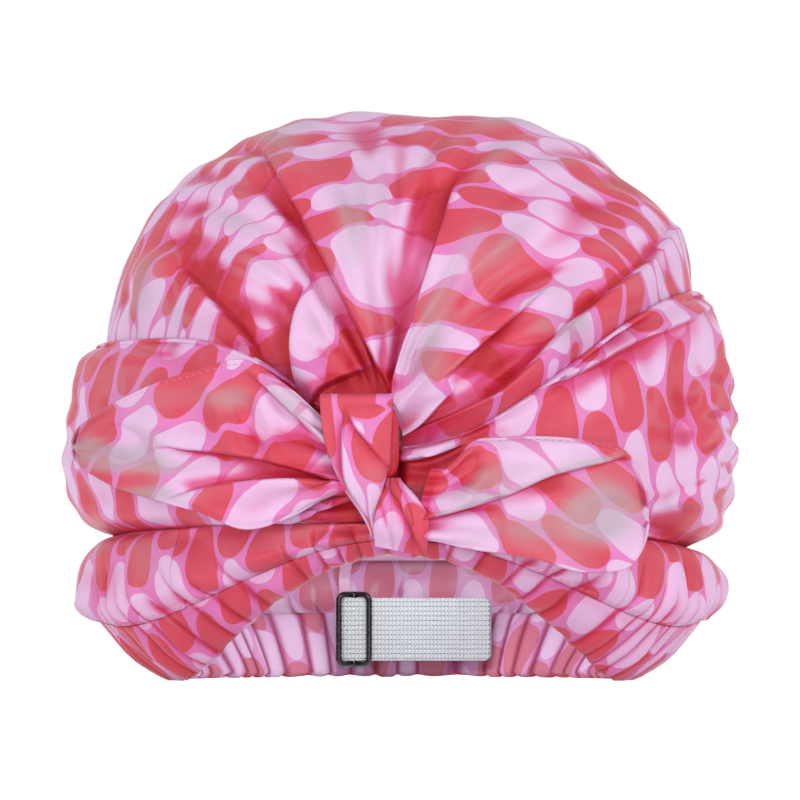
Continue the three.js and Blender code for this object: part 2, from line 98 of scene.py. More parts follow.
class Sheet:
    # The node sheet of one material or world.
    def __init__(self, owner):
        owner.use_nodes = True
        self.owner = owner
        self.tree = owner.node_tree
        self.tree.nodes.clear()

    def node(self, kind, settings=None, *values, **named):
        # Any node: its type, its settings first, then the values or links of its sockets.
        node = self.tree.nodes.new(kind)
        for key, value in (settings or {}).items():
            if key == "stops":
                for element, (place, colour) in zip(self.stopsOf(node, len(value)), value):
                    element.position = place
                    element.color = colour
            else:
                setattr(node, key, value)
        shown = [socket for socket in node.inputs if socket.enabled]
        pairs = list(zip(shown, values))
        pairs += [(node.inputs[key.replace("_", " ")], value) for key, value in named.items()]
        for socket, value in pairs:
            if isinstance(value, Value):
                self.tree.links.new(value.socket, socket)
            elif value is not None:
                socket.default_value = value
        return node

    def stopsOf(self, node, count):
        while len(node.color_ramp.elements) < count:
            node.color_ramp.elements.new(0.5)
        return node.color_ramp.elements

    def add(self, kind, settings=None, *values, **named):
        node = self.node(kind, settings, *values, **named)
        return Value(self, next(socket for socket in node.outputs if socket.enabled))

    def blend(self, share, low, high, how="MIX"):
        # Mixes two colours.
        settings = {"data_type": "RGBA", "blend_type": how, "clamp_factor": True}
        return self.add("ShaderNodeMix", settings, share, low, high)

    def printMap(self, name):
        place = Value(self, self.node("ShaderNodeUVMap", {"uv_map": name}).outputs["UV"])
        parts = self.node("ShaderNodeSeparateXYZ", None, place)
        return Value(self, parts.outputs["X"]), Value(self, parts.outputs["Y"]), place

    def attribute(self, name):
        return Value(self, self.node("ShaderNodeAttribute", {"attribute_name": name}).outputs["Fac"])

    def noise(self, place, scale, detail=2.0):
        settings = {"noise_dimensions": "3D"}
        return self.add("ShaderNodeTexNoise", settings, place, Scale=scale, Detail=detail, Roughness=0.5)

    def seenRays(self):
        # 1 where the camera looks, also by way of a shiny or a clear surface.
        paths = self.node("ShaderNodeLightPath").outputs
        kinds = ("Is Camera Ray", "Is Glossy Ray", "Is Transmission Ray")
        straight, glossy, clear = (Value(self, paths[kind]) for kind in kinds)
        return straight.math("MAXIMUM", glossy).math("MAXIMUM", clear)

    def finish(self, colour, roughness, height=None, depth=0.0, **settings):
        if height is not None:
            settings["Normal"] = self.add("ShaderNodeBump", None, Height=height, Distance=depth)
        settings.update(Base_Color=colour, Roughness=roughness)
        shader = self.add("ShaderNodeBsdfPrincipled", None, **settings)
        self.node("ShaderNodeOutputMaterial", None, shader)
        return self.owner


def materialSheet(name):
    return Sheet(bpy.data.materials.new(name))


def ink(red, green, blue):
    # A display colour, 0 to 255, as Blender's linear one.
    shown = (red / 255, green / 255, blue / 255)
    return (*(c / 12.92 if c <= 0.04045 else ((c + 0.055) / 1.055) ** 2.4 for c in shown), 1)


# Print: ovals in a half-drop layout, in two colours on a pink ground. All lengths are millimetres of cloth.
printed = {
    "columnPitch": 16.2,
    "rowPitch": 31,
    "halfWidth": 7.15,
    "halfLength": 14.2,
    "power": 2.4,
    "edge": 0.06,
    "weavePitch": 0.62,
}
# Besides the print's colours, each set holds a grey that paints sheen on flat areas and tints the weave, with
# its share, a sheen colour for painted highlights and sheen patches, and three colours of painted shade in
# folds, from light to darkest.
faceInks = {
    "coral": ink(216, 66, 88),
    "pale": ink(236, 192, 230),
    "ground": ink(228, 124, 190),
    "grey": ink(196, 188, 196),
    "sheen": ink(176, 166, 168),
    "paintedSheenShare": 0.16,
    "shade": ink(240, 130, 168),
    "deepShade": ink(222, 60, 96),
    "deepest": ink(196, 10, 40),
}
reverseInks = {
    "coral": ink(196, 112, 132),
    "pale": ink(218, 190, 220),
    "ground": ink(210, 150, 196),
    "grey": ink(200, 194, 206),
    "sheen": ink(190, 184, 194),
    "paintedSheenShare": 0.5,
    "shade": ink(214, 150, 180),
    "deepShade": ink(172, 80, 116),
    "deepest": ink(150, 40, 70),
}


def makeSatin(name, inks, roughness=0.36):
    sheet = materialSheet(name)
    a, b, place = sheet.printMap("print")
    wander = (b / 43 + 1.3).sin() * 5.5 + ((a + b) / 31).sin() * 3.2
    climb = (a / 57 + 0.6).sin() * 7 + ((a - b * 0.6) / 37).sin() * 4
    swell = ((a / 71).sin() + (b / 83 + 2).sin()) * 0.05 + 1
    across = (a + wander) / printed["columnPitch"]
    column = across.floor()
    up = (b + climb) / printed["rowPitch"] + (column % 2) * 0.5
    row = up.floor()
    sideways = abs(across - column - 0.5) * printed["columnPitch"] / (printed["halfWidth"] * swell)
    along = up - row - 0.5
    lengthways = abs(along) * printed["rowPitch"] / (printed["halfLength"] * swell)
    pebble = (sideways * (1 + along * 0.35)) ** printed["power"] + lengthways ** printed["power"]
    inside = 1 - pebble.between(1 - printed["edge"], 1 + printed["edge"])
    colour = sheet.blend((column + row) % 2, inks["coral"], inks["pale"])
    colour = sheet.blend(inside, inks["ground"], colour)
    # Painted light from here on: shade in the valleys and hollows that the crease and fold attributes mark,
    # and sheen where fold is below 0.
    crease = sheet.attribute("crease")
    fold = sheet.attribute("fold")
    # Noise patches paint a grey sheen on the flat areas.
    paintedLightPatches = sheet.noise(place, 0.021, 1.5).between(0.42, 0.66)
    flat = 1 - abs(crease).between(0.1, 0.5)
    colour = sheet.blend(paintedLightPatches * flat * inks["paintedSheenShare"], colour, inks["grey"])
    # Painted shade: multiplied in by how deep the valley is, then mixed towards the darkest shade colour in
    # the deepest folds.
    valley = crease.between(0.3, 1.6) * 0.3 + fold.between(0.0, 1.5)
    stops = [(0.0, (1, 1, 1, 1)), (0.3, inks["shade"]), (0.7, inks["deepShade"])]
    shade = sheet.add("ShaderNodeValToRGB", {"stops": stops}, valley)
    colour = sheet.blend(1.0, colour, shade, "MULTIPLY")
    colour = sheet.blend(fold.between(0.7, 1.5), colour, inks["deepest"])
    # Painted sheen and highlight where fold is below 0.
    colour = sheet.blend((fold * -1).between(0.0, 1.1) * 0.62, colour, inks["sheen"])
    turn = 2 * math.pi / printed["weavePitch"]
    weave = (a * turn).sin() * (b * turn).sin()
    colour = sheet.blend(weave * 0.03 + 0.03, colour, inks["grey"])
    return sheet.finish(
        colour,
        roughness + sheet.noise(place, 0.05) * 0.08,
        weave,
        0.00004,
        Specular_IOR_Level=0.28,
        Coat_Weight=0.1,
        Coat_Roughness=0.26,
    )


def makeLining():
    sheet = materialSheet("liningFilm")
    a, b, place = sheet.printMap("print")
    folds = sheet.noise(place, 0.09, 3.0)
    # The colour follows the height of the folds: darker in their dips, a painted shade.
    colour = sheet.blend(folds, ink(204, 160, 190), ink(222, 190, 212))
    return sheet.finish(colour, 0.36 + folds * 0.15, folds, 0.0004, Specular_IOR_Level=0.5)


# Knitted elastic: columns of small chevrons along the band. Lengths are millimetres.
knit = {"column": 1.9, "stitch": 1.5}


def makeKnit(name):
    sheet = materialSheet(name)
    a, b, place = sheet.printMap("print")
    across = b / knit["column"]
    side = abs((across % 1) - 0.5) * 2
    yarn = ((a / knit["stitch"] + side * 0.62) * 2 * math.pi).sin() * 0.5 + 0.5
    groove = side.between(0.8, 1.0)
    height = yarn * 0.6 * (1 - groove) + (1 - groove) * 0.4
    # The colour follows the knit's height: darker in the grooves, a painted shade.
    colour = sheet.blend(height, ink(136, 148, 152), ink(200, 207, 209))
    return sheet.finish(colour, 0.82, height, 0.0004, Specular_IOR_Level=0.3)


def makeWire():
    sheet = materialSheet("coatedWire")
    place = Value(sheet, sheet.node("ShaderNodeTexCoord").outputs["Object"])
    lumps = sheet.noise(place, 420.0, 2.0)
    colour = sheet.blend(lumps, ink(8, 7, 8), ink(24, 22, 23))
    return sheet.finish(colour, 0.2 + lumps * 0.16, lumps, 0.0004, Specular_IOR_Level=0.4)


def makeThread(name, colour, dark):
    sheet = materialSheet(name)
    place = Value(sheet, sheet.node("ShaderNodeTexCoord").outputs["Object"])
    strands = sheet.noise(place, 3000.0, 1.0)
    return sheet.finish(sheet.blend(strands, dark, colour), 0.6, strands, 0.00005)


satin = makeSatin("printedSatin", faceInks)
reverse = makeSatin("satinReverse", reverseInks, 0.5)
liningFilm = makeLining()
knitted = makeKnit("knittedElastic")
coatedWire = makeWire()
pinkThread = makeThread("pinkThread", ink(236, 170, 206), ink(176, 70, 110))
whiteThread = makeThread("whiteThread", ink(176, 182, 186), ink(120, 126, 132))
print("stage: materials")


# Numbers that every cloth piece shares, in millimetres and radians.
cloth = {"thickness": 1.2, "gap": 0.35, "shown": 0.55, "seam": 0.12}
rings = {
    "hem": {"side": 87, "front": 90, "back": 96},
    "casingTop": {"side": 115, "front": 99, "back": 106},
    "lowerRoll": {"side": 123, "front": 104, "back": 119},
    "groove": {"side": 111, "front": 98, "back": 112},
    "wrap": {"side": 130, "front": 108, "back": 120.5},
    "crown": {"side": 114, "front": 98, "back": 110},
}
heights = {
    "casing": {"side": 24, "front": 7, "back": 26},
    "lowerRoll": {"side": 40, "front": 58, "back": 39},
    "groove": {"side": 52, "front": 61, "back": 50},
    "wrap": {"side": 90, "front": 76, "back": 84},
    "topLeft": {"side": 130, "front": 88, "back": 120, "power": 10},
    "topRight": {"side": 150, "front": 88, "back": 120, "power": 3},
    "crown": 219,
    "arch": 48,
    "archPower": 2,
    "tuck": 12,
}
archEnd = 72 * degree
backSeam = -169 * degree
sideSeam = 48 * degree
seamHalf = cloth["seam"] / 2 / rings["hem"]["back"]
seamLeft = backSeam + seamHalf
seamRight = backSeam - seamHalf + 2 * math.pi


def smooth(x):
    x = np.clip(x, 0, 1)
    return x * x * (3 - 2 * x)


def between(low, high, share):
    return low + (high - low) * share


def around(azimuth, reach):
    c = np.cos(azimuth)
    return reach["side"] + (np.where(c > 0, reach["front"], reach["back"]) - reach["side"]) * c * c


def ovalRadius(azimuth, reach):
    c = np.cos(azimuth)
    return 1 / np.hypot(np.sin(azimuth) / reach["side"], c / np.where(c > 0, reach["front"], reach["back"]))


def grooveHeight(azimuth):
    # The valley under the wraps stands a little higher on the left.
    return around(azimuth, heights["groove"]) + 5 * smooth(-np.sin(azimuth) - 0.2)


def valleyRadius(azimuth):
    # Deep at the sides and the back, nearly flush in front.
    nearest = np.minimum(ovalRadius(azimuth, rings["wrap"]), ovalRadius(azimuth, rings["lowerRoll"])) - 1.6
    turned = np.abs(np.arctan2(np.sin(azimuth), np.cos(azimuth))) / degree
    return between(nearest, ovalRadius(azimuth, rings["groove"]), smooth((turned - 30) / 55) ** 1.4)


def onRing(azimuth, radius, height):
    return np.stack(np.broadcast_arrays(radius * np.sin(azimuth), -radius * np.cos(azimuth), height), -1)


def curveThrough(values, share):
    # A smooth curve through evenly spaced values, each a number or an array.
    made = np.broadcast_arrays(*[np.asarray(value, float) for value in values], share)
    points, share = np.stack(made[:-1]), made[-1]
    last = len(points) - 1
    x = np.clip(share, 0, 1) * last
    i = np.minimum(x.astype(int), last - 1)
    w = x - i
    p0, p1, p2, p3 = (
        np.take_along_axis(points, np.clip(i + step, 0, last)[None], 0)[0] for step in (-1, 0, 1, 2)
    )
    v0, v1 = (p2 - p0) / 2, (p3 - p1) / 2
    return ((2 * p1 - 2 * p2 + v0 + v1) * w + (3 * p2 - 3 * p1 - 2 * v0 - v1)) * w * w + v0 * w + p1


def softNoise(a, b, seed, waves=9):
    # Gentle unevenness from a few sine waves. a and b are in wavelengths.
    random = np.random.default_rng(seed)
    total = 0
    for _ in range(waves):
        heading = random.uniform(0, 2 * math.pi)
        size = random.uniform(0.6, 1.7)
        phase = random.uniform(0, 2 * math.pi)
        total = total + np.sin(2 * math.pi * size * (a * math.cos(heading) + b * math.sin(heading)) + phase)
    return total / math.sqrt(waves)


def normalsOf(places):
    across = np.gradient(places, axis=1)
    up = np.gradient(places, axis=0)
    normal = np.cross(across, up)
    return normal / np.maximum(np.linalg.norm(normal, axis=-1, keepdims=True), 1e-9)


def blurred(values, times):
    for _ in range(times):
        padded = np.pad(values, [(1, 1), (1, 1)] + [(0, 0)] * (values.ndim - 2), mode="edge")
        values = (padded[:-2, 1:-1] + padded[2:, 1:-1] + padded[1:-1, :-2] + padded[1:-1, 2:]) / 4
    return values


def creaseOf(places):
    # How far each point lies under its neighbours' middle, in millimetres: above 0 in a valley.
    normal = normalsOf(places)
    hollow = 0
    for times, gain in ((4, 3.0), (14, 1.0)):
        hollow = hollow + gain * ((blurred(places, times) - places) * normal).sum(-1)
    return blurred(hollow, 2)


def seenAt(places):
    # Where the camera sees each place, in pixels from the top left.
    away = camera["away"] / mm + places[..., 1]
    tilt = math.atan2(camera["aim"] - camera["height"], camera["away"])
    focal = camera["away"] / mm / camera["millimetresPerPixel"]
    x = 400 + focal * places[..., 0] / away
    y = 400 - focal * ((places[..., 2] - camera["height"] / mm) / away - tilt)
    return np.stack([x, y], -1)


def nearLine(points, line):
    # How far each point lies from a smooth line, above 0 on its right, the share along it, and the way to it.
    share = np.linspace(0, 1, 4 * len(line))
    line = np.stack([curveThrough([place[axis] for place in line], share) for axis in (0, 1)], -1)
    length = lengthsOf(line)
    nearest = np.full(points.shape[:-1], 1e9)
    side, along, way = np.ones_like(nearest), np.zeros_like(nearest), np.zeros_like(points)
    for a, b, start, end in zip(line[:-1], line[1:], length[:-1], length[1:]):
        step = b - a
        t = np.clip(((points - a) @ step) / (step @ step), 0, 1)
        gap = points - (a + t[..., None] * step)
        far = np.linalg.norm(gap, axis=-1)
        closer = far < nearest
        nearest = np.where(closer, far, nearest)
        side = np.where(closer, np.sign(step[0] * gap[..., 1] - step[1] * gap[..., 0]), side)
        along = np.where(closer, (start + t * (end - start)) / length[-1], along)
        way = np.where(closer[..., None], gap, way)
    return nearest * side, along, way


# A crease follows a line on the cloth that it is given to. over says which side lies on top, going along
# the line: 1 the right, -1 the left, 0 a soft ridge. Each point has its place in the camera's pixels, and
# the crease's lift and slope there in millimetres.
# shade sets the strength of the painted shade under a crease, and under how far that shade reaches.
def crease(over, *points, **settings):
    x, y, lift, slope = zip(*points)
    return {"line": list(zip(x, y)), "over": over, "lift": lift, "slope": slope, **settings}


# Shared crease settings: among them the strength and reach of the painted shade under each overlap, the width
# of the painted highlight along each crest, and how much painted shade and sheen soft unevenness gets.
creasing = {
    "edge": 1.0,
    "gathering": 0.62,
    "shade": 0.8,
    "under": 8.5,
    "crest": 1.1,
    "hidden": 1.6,
    "memory": 60,
    "deepest": 1.0,
    "paintedBumpShading": 0.28,
}


def creased(places, creases, free=1.0, soft=0.0, forward=1.2):
    # soft is plain unevenness; forward turns the lift from the cloth's normal towards its front.
    # Besides the new places it gives fold, the painted light: shade under each overlap and in dips, highlight
    # along each crest and sheen on rises; and hidden, the print's jump across each overlap.
    normal = normalsOf(places)
    places = places + normal * np.asarray(soft)[..., None]
    seen = seenAt(places)
    heading = normal + np.array([0, -forward, 0])
    heading = heading / np.linalg.norm(heading, axis=-1, keepdims=True)
    facing = smooth(-normal[..., 1] / 0.14) * free
    pixel = camera["millimetresPerPixel"]
    lift, fold = np.zeros(places.shape[:2]), np.zeros(places.shape[:2])
    moved, hidden = np.zeros_like(places), np.zeros_like(seen)
    pulled = np.full(places.shape[:2], 1e-6)
    for one in creases:
        away, along, way = nearLine(seen, one["line"])
        height = curveThrough(one["lift"], along) * facing
        slope = curveThrough(one["slope"], along)
        strength = smooth(np.abs(height) / 4) * one.get("shade", creasing["shade"])
        if one["over"] == 0:
            bump = np.exp(-((away * pixel / slope) ** 2))
            lift = lift + height * bump
            # painted sheen along a rise, painted shade along a dip
            fold = fold - np.sign(height) * 0.45 * bump * strength
            hidden = hidden + (height * bump)[..., None] * np.array([0.8, 0.4])
            continue
        d = away * pixel * one["over"]
        edge = creasing["edge"]
        up = smooth((d / edge + 1) / 2)
        lift = lift + height * up * (1 - smooth(d / slope))
        lift = lift - 0.15 * height * np.exp(-((d / 5) ** 2)) * (1 - up)
        pull = creasing["gathering"] * smooth(np.abs(height) / 3) * np.exp(-((d / (3 * edge)) ** 2))
        flat = np.stack([way[..., 0], np.zeros_like(d), -way[..., 1]], -1) * pixel
        flat = flat - (flat * normal).sum(-1, keepdims=True) * normal
        moved, pulled = moved - flat * pull[..., None], pulled + pull
        # painted shade on the side that lies under, and painted highlight along the crest of the side on top
        under = np.exp(-((np.minimum(d, 0) / one.get("under", creasing["under"])) ** 2)) * (1 - up)
        crest = np.exp(-(((d - 1.4 * edge) / creasing["crest"]) ** 2))
        fold = np.maximum(fold, under * strength) - 0.8 * crest * strength * (d > 0)
        ends = np.array(one["line"][-1], float) - np.array(one["line"][0], float)
        across = np.array([-ends[1], -ends[0]]) / np.linalg.norm(ends) * one["over"]
        jump = one.get("jump", creasing["hidden"]) * height * up * (1 - smooth(d / creasing["memory"]))
        hidden = hidden + jump[..., None] * across
    moved = moved * np.minimum(1, creasing["gathering"] / pulled)[..., None]
    lift = np.maximum(lift, -creasing["deepest"])
    return places + heading * lift[..., None] + moved, fold, hidden


def paintedSheenAndShade(places, paintedLightPatches):
    # Soft areas of painted satin sheen, and of painted shade where the strength is below 0: centre and size
    # in the camera's pixels, and strength.
    seen = seenAt(places)
    total = 0
    for x, y, width, height, strength in paintedLightPatches:
        away = ((seen[..., 0] - x) / width) ** 2 + ((seen[..., 1] - y) / height) ** 2
        total = total + strength * np.exp(-away)
    return total


def objectFrom(name, bm, materials):
    mesh = bpy.data.meshes.new(name)
    bm.to_mesh(mesh)
    bm.free()
    for material in materials:
        mesh.materials.append(material)
    made = bpy.data.objects.new(name, mesh)
    bpy.context.scene.collection.objects.link(made)
    return made


def clothPiece(name, places, prints, materials=(satin, reverse), shown=cloth["shown"], fold=None, turned=-1):
    # A sheet of cloth from a grid of places, rows upwards and columns to the right seen from outside.
    # Its rows up to turned show the cloth's reverse.
    rows, columns = places.shape[:2]
    bm = bmesh.new()
    bmesh.ops.create_grid(bm, x_segments=columns - 1, y_segments=rows - 1, size=0.5)
    flat = np.array([vert.co[:2] for vert in bm.verts])
    flat = (flat - flat.min(0)) / np.ptp(flat, axis=0)
    i = np.rint(flat[:, 0] * (columns - 1)).astype(int)
    j = np.rint(flat[:, 1] * (rows - 1)).astype(int)
    for vert, place in zip(bm.verts, places[j, i] * mm):
        vert.co = place
    layer = bm.loops.layers.uv.new("print")
    onCloth = prints[j, i]
    for face in bm.faces:
        face.smooth = True
        face.material_index = int(max(j[vert.index] for vert in face.verts) <= turned)
        for loop in face.loops:
            loop[layer].uv = onCloth[loop.vert.index]
    # The crease and fold attributes carry the painted shade and sheen that the satin reads.
    for layerName, values in (("crease", creaseOf(places)), ("fold", fold)):
        if values is not None:
            layer = bm.verts.layers.float.new(layerName)
            for vert, value in zip(bm.verts, values[j, i]):
                vert[layer] = value
    piece = objectFrom(name, bm, materials)
    wall = piece.modifiers.new("thickness", "SOLIDIFY")
    wall.thickness = shown * mm
    wall.offset = 0
    wall.use_even_offset = False
    wall.use_rim = True
    wall.material_offset = len(materials) - 1
    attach(piece, "cap")
    return piece


def lengthsOf(line):
    # The way along a line of places, from its start to each of them.
    return np.concatenate([[0], np.cumsum(np.linalg.norm(np.diff(line, axis=0), axis=-1))])


def turnedBy(a, b, turn):
    c, s = math.cos(turn), math.sin(turn)
    return np.stack([a * c - b * s, a * s + b * c], -1)


def arcPrints(places, middle=0.5, turn=0.0, start=(0, 0)):
    # Print coordinates by length along the cloth: columns from the middle row, rows from each column.
    row = int(middle * (places.shape[0] - 1))
    across = lengthsOf(places[row])
    up = np.stack([lengthsOf(column) for column in np.swapaxes(places, 0, 1)], -1)
    a, b = np.broadcast_to(across, places.shape[:2]), up - up[row]
    return turnedBy(a, b, turn) + start


def spaced(low, high, count, weight):
    # Columns from low to high, closer together where weight is high.
    fine = np.linspace(low, high, 4001)
    total = np.concatenate([[0], np.cumsum((weight(fine[1:]) + weight(fine[:-1])) / 2)])
    return np.interp(np.linspace(0, total[-1], count), total, fine)


# Crown: a dome over a disc of cloth, drawn in towards the knot.
crown = {
    "gather": (-0.05, -0.95),
    "openingLeft": -15 * degree,
    "openingRight": 8 * degree,
    "disc": 150,
    "warp": 3,
    "columns": 420,
    "rows": 112,
    "printTurn": 80 * degree,
    "printShare": np.array([1.5, 1.0]),
    # how far from the gathering point the cloth ends, by the ray's angle
    "edge": [(-92, 0.1), (-60, 0.045), (60, 0.045), (95, 0.06)],
    "creases": [
        crease(  # the long fold that leans left
            1, (391, 396, 4, 6), (374, 360, 8, 12), (355, 322, 10, 20), (339, 290, 10, 28),
            (323, 258, 9, 32), (305, 226, 8, 34), (287, 192, 6, 34), (270, 160, 4, 30), (250, 138, 0, 24),
        ),
        crease(  # the long fold right of it
            1, (392, 404, 4, 6), (394, 380, 8, 12), (402, 350, 10, 18), (414, 318, 9.5, 24),
            (422, 288, 8, 30), (431, 260, 7, 34), (440, 230, 5.5, 38), (449, 200, 3.5, 40),
            (458, 172, 0, 40),
        ),
        crease(  # left edge of the pouch
            1, (318, 424, 5, 10), (304, 402, 7, 14), (295, 376, 7, 16), (291, 346, 7, 18),
            (294, 318, 6, 18), (302, 296, 4, 18), (312, 280, 0, 16),
        ),
        crease(  # lip over the hollow
            -1, (318, 426, 5, 8), (315, 404, 8, 12), (323, 389, 8, 14), (340, 380, 7, 14),
            (356, 373, 5, 12), (368, 366, 0.5, 8), shade=1.3, under=14,
        ),
        crease(  # upper left fold
            -1, (318, 425, 5, 8), (290, 398, 7, 12), (263, 368, 6.5, 16), (246, 337, 6, 18),
            (216, 304, 5, 18), (192, 277, 3.5, 16), (170, 261, 0, 12),
        ),
        crease(  # low left fold
            -1, (318, 427, 3, 5), (300, 409, 4, 7), (278, 386, 4, 8), (255, 366, 3.5, 8),
            (232, 349, 2.5, 8), (202, 333, 0, 8),
        ),
        crease(  # long fold to the right side
            1, (396, 441, 3, 5), (430, 425, 5, 7), (467, 408, 6, 9), (497, 393, 7, 11),
            (523, 370, 7.5, 13), (549, 344, 7.5, 15), (572, 322, 7, 16), (600, 299, 6, 16),
            (626, 279, 5, 15), (649, 259, 4, 14), (669, 234, 2, 12),
        ),
        crease(  # flap beside the knot
            -1, (390, 443, 6, 9), (413, 430, 7.5, 12), (434, 410, 6.5, 12), (459, 384, 0, 10), shade=1.2,
            under=8,
        ),
        crease(  # ridge above the flap
            -1, (440, 384, 0, 8), (462, 362, 4, 10), (486, 341, 5, 12), (508, 321, 4.5, 12),
            (536, 297, 3, 12), (558, 278, 0, 12), shade=0.6,
        ),
        crease(
            0, (398, 205, 0, 4), (422, 184, 3.5, 4), (438, 167, 4.5, 4), (456, 155, 4.5, 5),
            (473, 168, 0, 5),
        ),
        crease(0, (428, 250, 0, 5), (434, 222, -3, 5), (436, 200, -4.5, 5), (446, 184, 0, 4), shade=1.6),
        crease(0, (281, 236, 0, 6), (279, 280, -2.5, 5), (281, 330, -3, 5), (290, 372, -1, 4), shade=1.2),
        crease(
            0, (246, 140, 0.6, 3), (229, 162, 1.8, 3.4), (222, 190, 2, 3.6), (212, 216, 1.8, 3.6),
            (186, 236, 0, 3),
        ),
        crease(
            0, (224, 152, 0.6, 3), (206, 176, 1.6, 3.2), (196, 204, 1.8, 3.4), (176, 226, 1.6, 3.4),
            (150, 240, 0, 3),
        ),
        crease(0, (200, 168, 0.6, 2.6), (184, 192, 1.4, 3), (172, 212, 1.4, 3), (150, 228, 0, 3)),
        crease(0, (132, 300, 0, 4), (146, 274, 3.5, 5), (166, 264, 4, 5), (186, 276, 0, 4)),
        crease(0, (258, 150, 0, 4), (278, 190, -2.5, 4), (300, 224, -2.5, 4), (318, 262, 0, 4), shade=1.6),
        crease(0, (330, 300, 0, 3.5), (338, 330, 2.4, 4), (344, 356, 1.5, 4)),
        crease(0, (384, 352, 0, 4), (382, 320, -1.6, 6), (386, 280, -1.6, 7), (396, 236, 0, 8), shade=1.4),
        crease(0, (472, 396, 0, 3), (490, 380, 2.4, 3), (512, 362, 2.4, 3), (540, 344, 0, 3)),
        crease(0, (470, 250, 0, 7), (505, 232, 1.6, 8), (548, 212, 1.6, 8), (590, 200, 0, 7)),
    ],
    # patches of painted sheen; those with strength below 0 paint deep shade in the hollows by the knot
    "sheen": [
        (356, 384, 36, 10, -1.9), (316, 425, 9, 24, -1.2), (352, 250, 26, 60, 0.45),
        (372, 318, 18, 34, 0.55), (414, 360, 16, 24, 0.5), (318, 318, 14, 30, 0.5),
        (282, 262, 12, 30, 0.5), (432, 330, 12, 50, 0.5),
    ],
}
gatherX, gatherY = crown["gather"]


def wrapTop(azimuth):
    c = np.cos(azimuth)

    def edge(reach):
        front = reach["side"] + (reach["front"] - reach["side"]) * np.abs(c) ** reach["power"]
        return np.where(c > 0, front, reach["side"] + (reach["back"] - reach["side"]) * c * c)

    return np.where(np.sin(azimuth) < 0, edge(heights["topLeft"]), edge(heights["topRight"]))


def domePlaces(x, y, reach, base, top, fullness=0.87):
    azimuth = np.arctan2(x, -y)
    radius = ovalRadius(azimuth, reach)
    share = np.hypot(x, y)
    quarter = np.clip(share, 0, 1) * math.pi / 2
    out, up = np.sin(quarter) ** fullness, np.maximum(np.cos(quarter), 0) ** fullness
    height = between(base(azimuth), top, up) - np.maximum(share - 1, 0) * radius
    return onRing(azimuth, radius * out, height)


def crownSurface(x, y):
    def base(azimuth):
        return wrapTop(azimuth) - heights["tuck"]

    return domePlaces(x, y, rings["crown"], base, heights["crown"])


def crownPlaces(columns, rows):
    azimuth, v = np.meshgrid(columns, rows)
    rayX, rayY = np.sin(azimuth) - gatherX, -np.cos(azimuth) - gatherY
    reach = np.hypot(rayX, rayY)
    angle = np.arctan2(rayX, rayY) / degree
    distance = between(np.interp(angle, *zip(*crown["edge"])), reach, (1 - v) ** 2)
    x, y = gatherX + distance * np.sin(angle * degree), gatherY + distance * np.cos(angle * degree)
    share = np.hypot(x, y)
    fromKnot = np.abs(np.arctan2(x, -y) / degree + 3)
    free = between(1, smooth((0.985 - share) / 0.06), smooth((fromKnot - 11) / 9))
    near = 1 - smooth((distance - 0.1) / 0.5)
    soft = 1.1 * softNoise(x * 2.6, y * 2.6, 3)
    gathers = 0.8 * near * np.sin(angle * 0.4 + 2.4 * softNoise(angle / 40, distance * 2.5, 8))
    gathers = gathers * smooth((distance - 0.07) / 0.08)
    ridges = 1.4 * softNoise(angle / 11, distance * 1.6, 5)
    ridges = ridges * smooth((distance - 0.2) / 0.3) * (1 - smooth((distance - 0.9) / 0.5))
    soft = (soft + gathers + ridges) * smooth((0.96 - share) / 0.1)
    places, fold, hidden = creased(crownSurface(x, y), crown["creases"], free, soft, 0.5)
    warp = np.stack([softNoise(x * 3, y * 3, seed) for seed in (41, 42)], -1)
    prints = np.stack([x, y], -1) * crown["disc"] + hidden + crown["warp"] * warp
    # Painted light: sheen and shade patches on the front only, and shade in the dips and sheen on the rises
    # of the soft unevenness.
    front = smooth(places[..., 1] * -0.05)
    return places, prints, fold - paintedSheenAndShade(places, crown["sheen"]) * front - creasing["paintedBumpShading"] * soft


def crownWeight(azimuth):
    angle = np.arctan2(np.sin(azimuth) - gatherX, -np.cos(azimuth) - gatherY) / degree
    turning = np.abs(np.gradient(angle, azimuth)) / degree
    return 0.25 + turning * 0.02


def makeCrown():
    left, right = 2 * math.pi + crown["openingLeft"], crown["openingRight"]
    columns = spaced(right, left, crown["columns"], crownWeight)
    places, prints, fold = crownPlaces(columns, np.linspace(0, 1, crown["rows"]))
    prints = turnedBy(prints[..., 0], prints[..., 1], crown["printTurn"]) * crown["printShare"]
    piece = clothPiece("crown_cloth", places, prints, fold=fold)
    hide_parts("crown_panel")


makeCrown()
print("stage: crown")


def makeLiningDome():
    # The inner dome, smooth, down to the groove.
    inner = {side: reach - cloth["thickness"] - cloth["gap"] for side, reach in rings["groove"].items()}
    top = heights["crown"] - cloth["thickness"] - cloth["gap"]
    turns, shares = np.meshgrid(np.linspace(0, 2 * math.pi, 121), np.linspace(1, 0.0, 48))
    x, y = shares * np.sin(turns), -shares * np.cos(turns)
    places = domePlaces(x, y, inner, lambda azimuth: around(azimuth, heights["groove"]) - 3, top)
    prints = np.stack([x, y], -1) * crown["disc"]
    piece = clothPiece("lining_dome", places, prints, materials=[liningFilm], shown=0.4)
    weldSeam(piece)
    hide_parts("lining")


def weldSeam(piece):
    # Joins the grid's two side edges and closes its pole.
    bm = bmesh.new()
    bm.from_mesh(piece.data)
    bmesh.ops.remove_doubles(bm, verts=bm.verts, dist=0.01 * mm)
    bmesh.ops.recalc_face_normals(bm, faces=bm.faces)
    bm.to_mesh(piece.data)
    bm.free()


makeLiningDome()

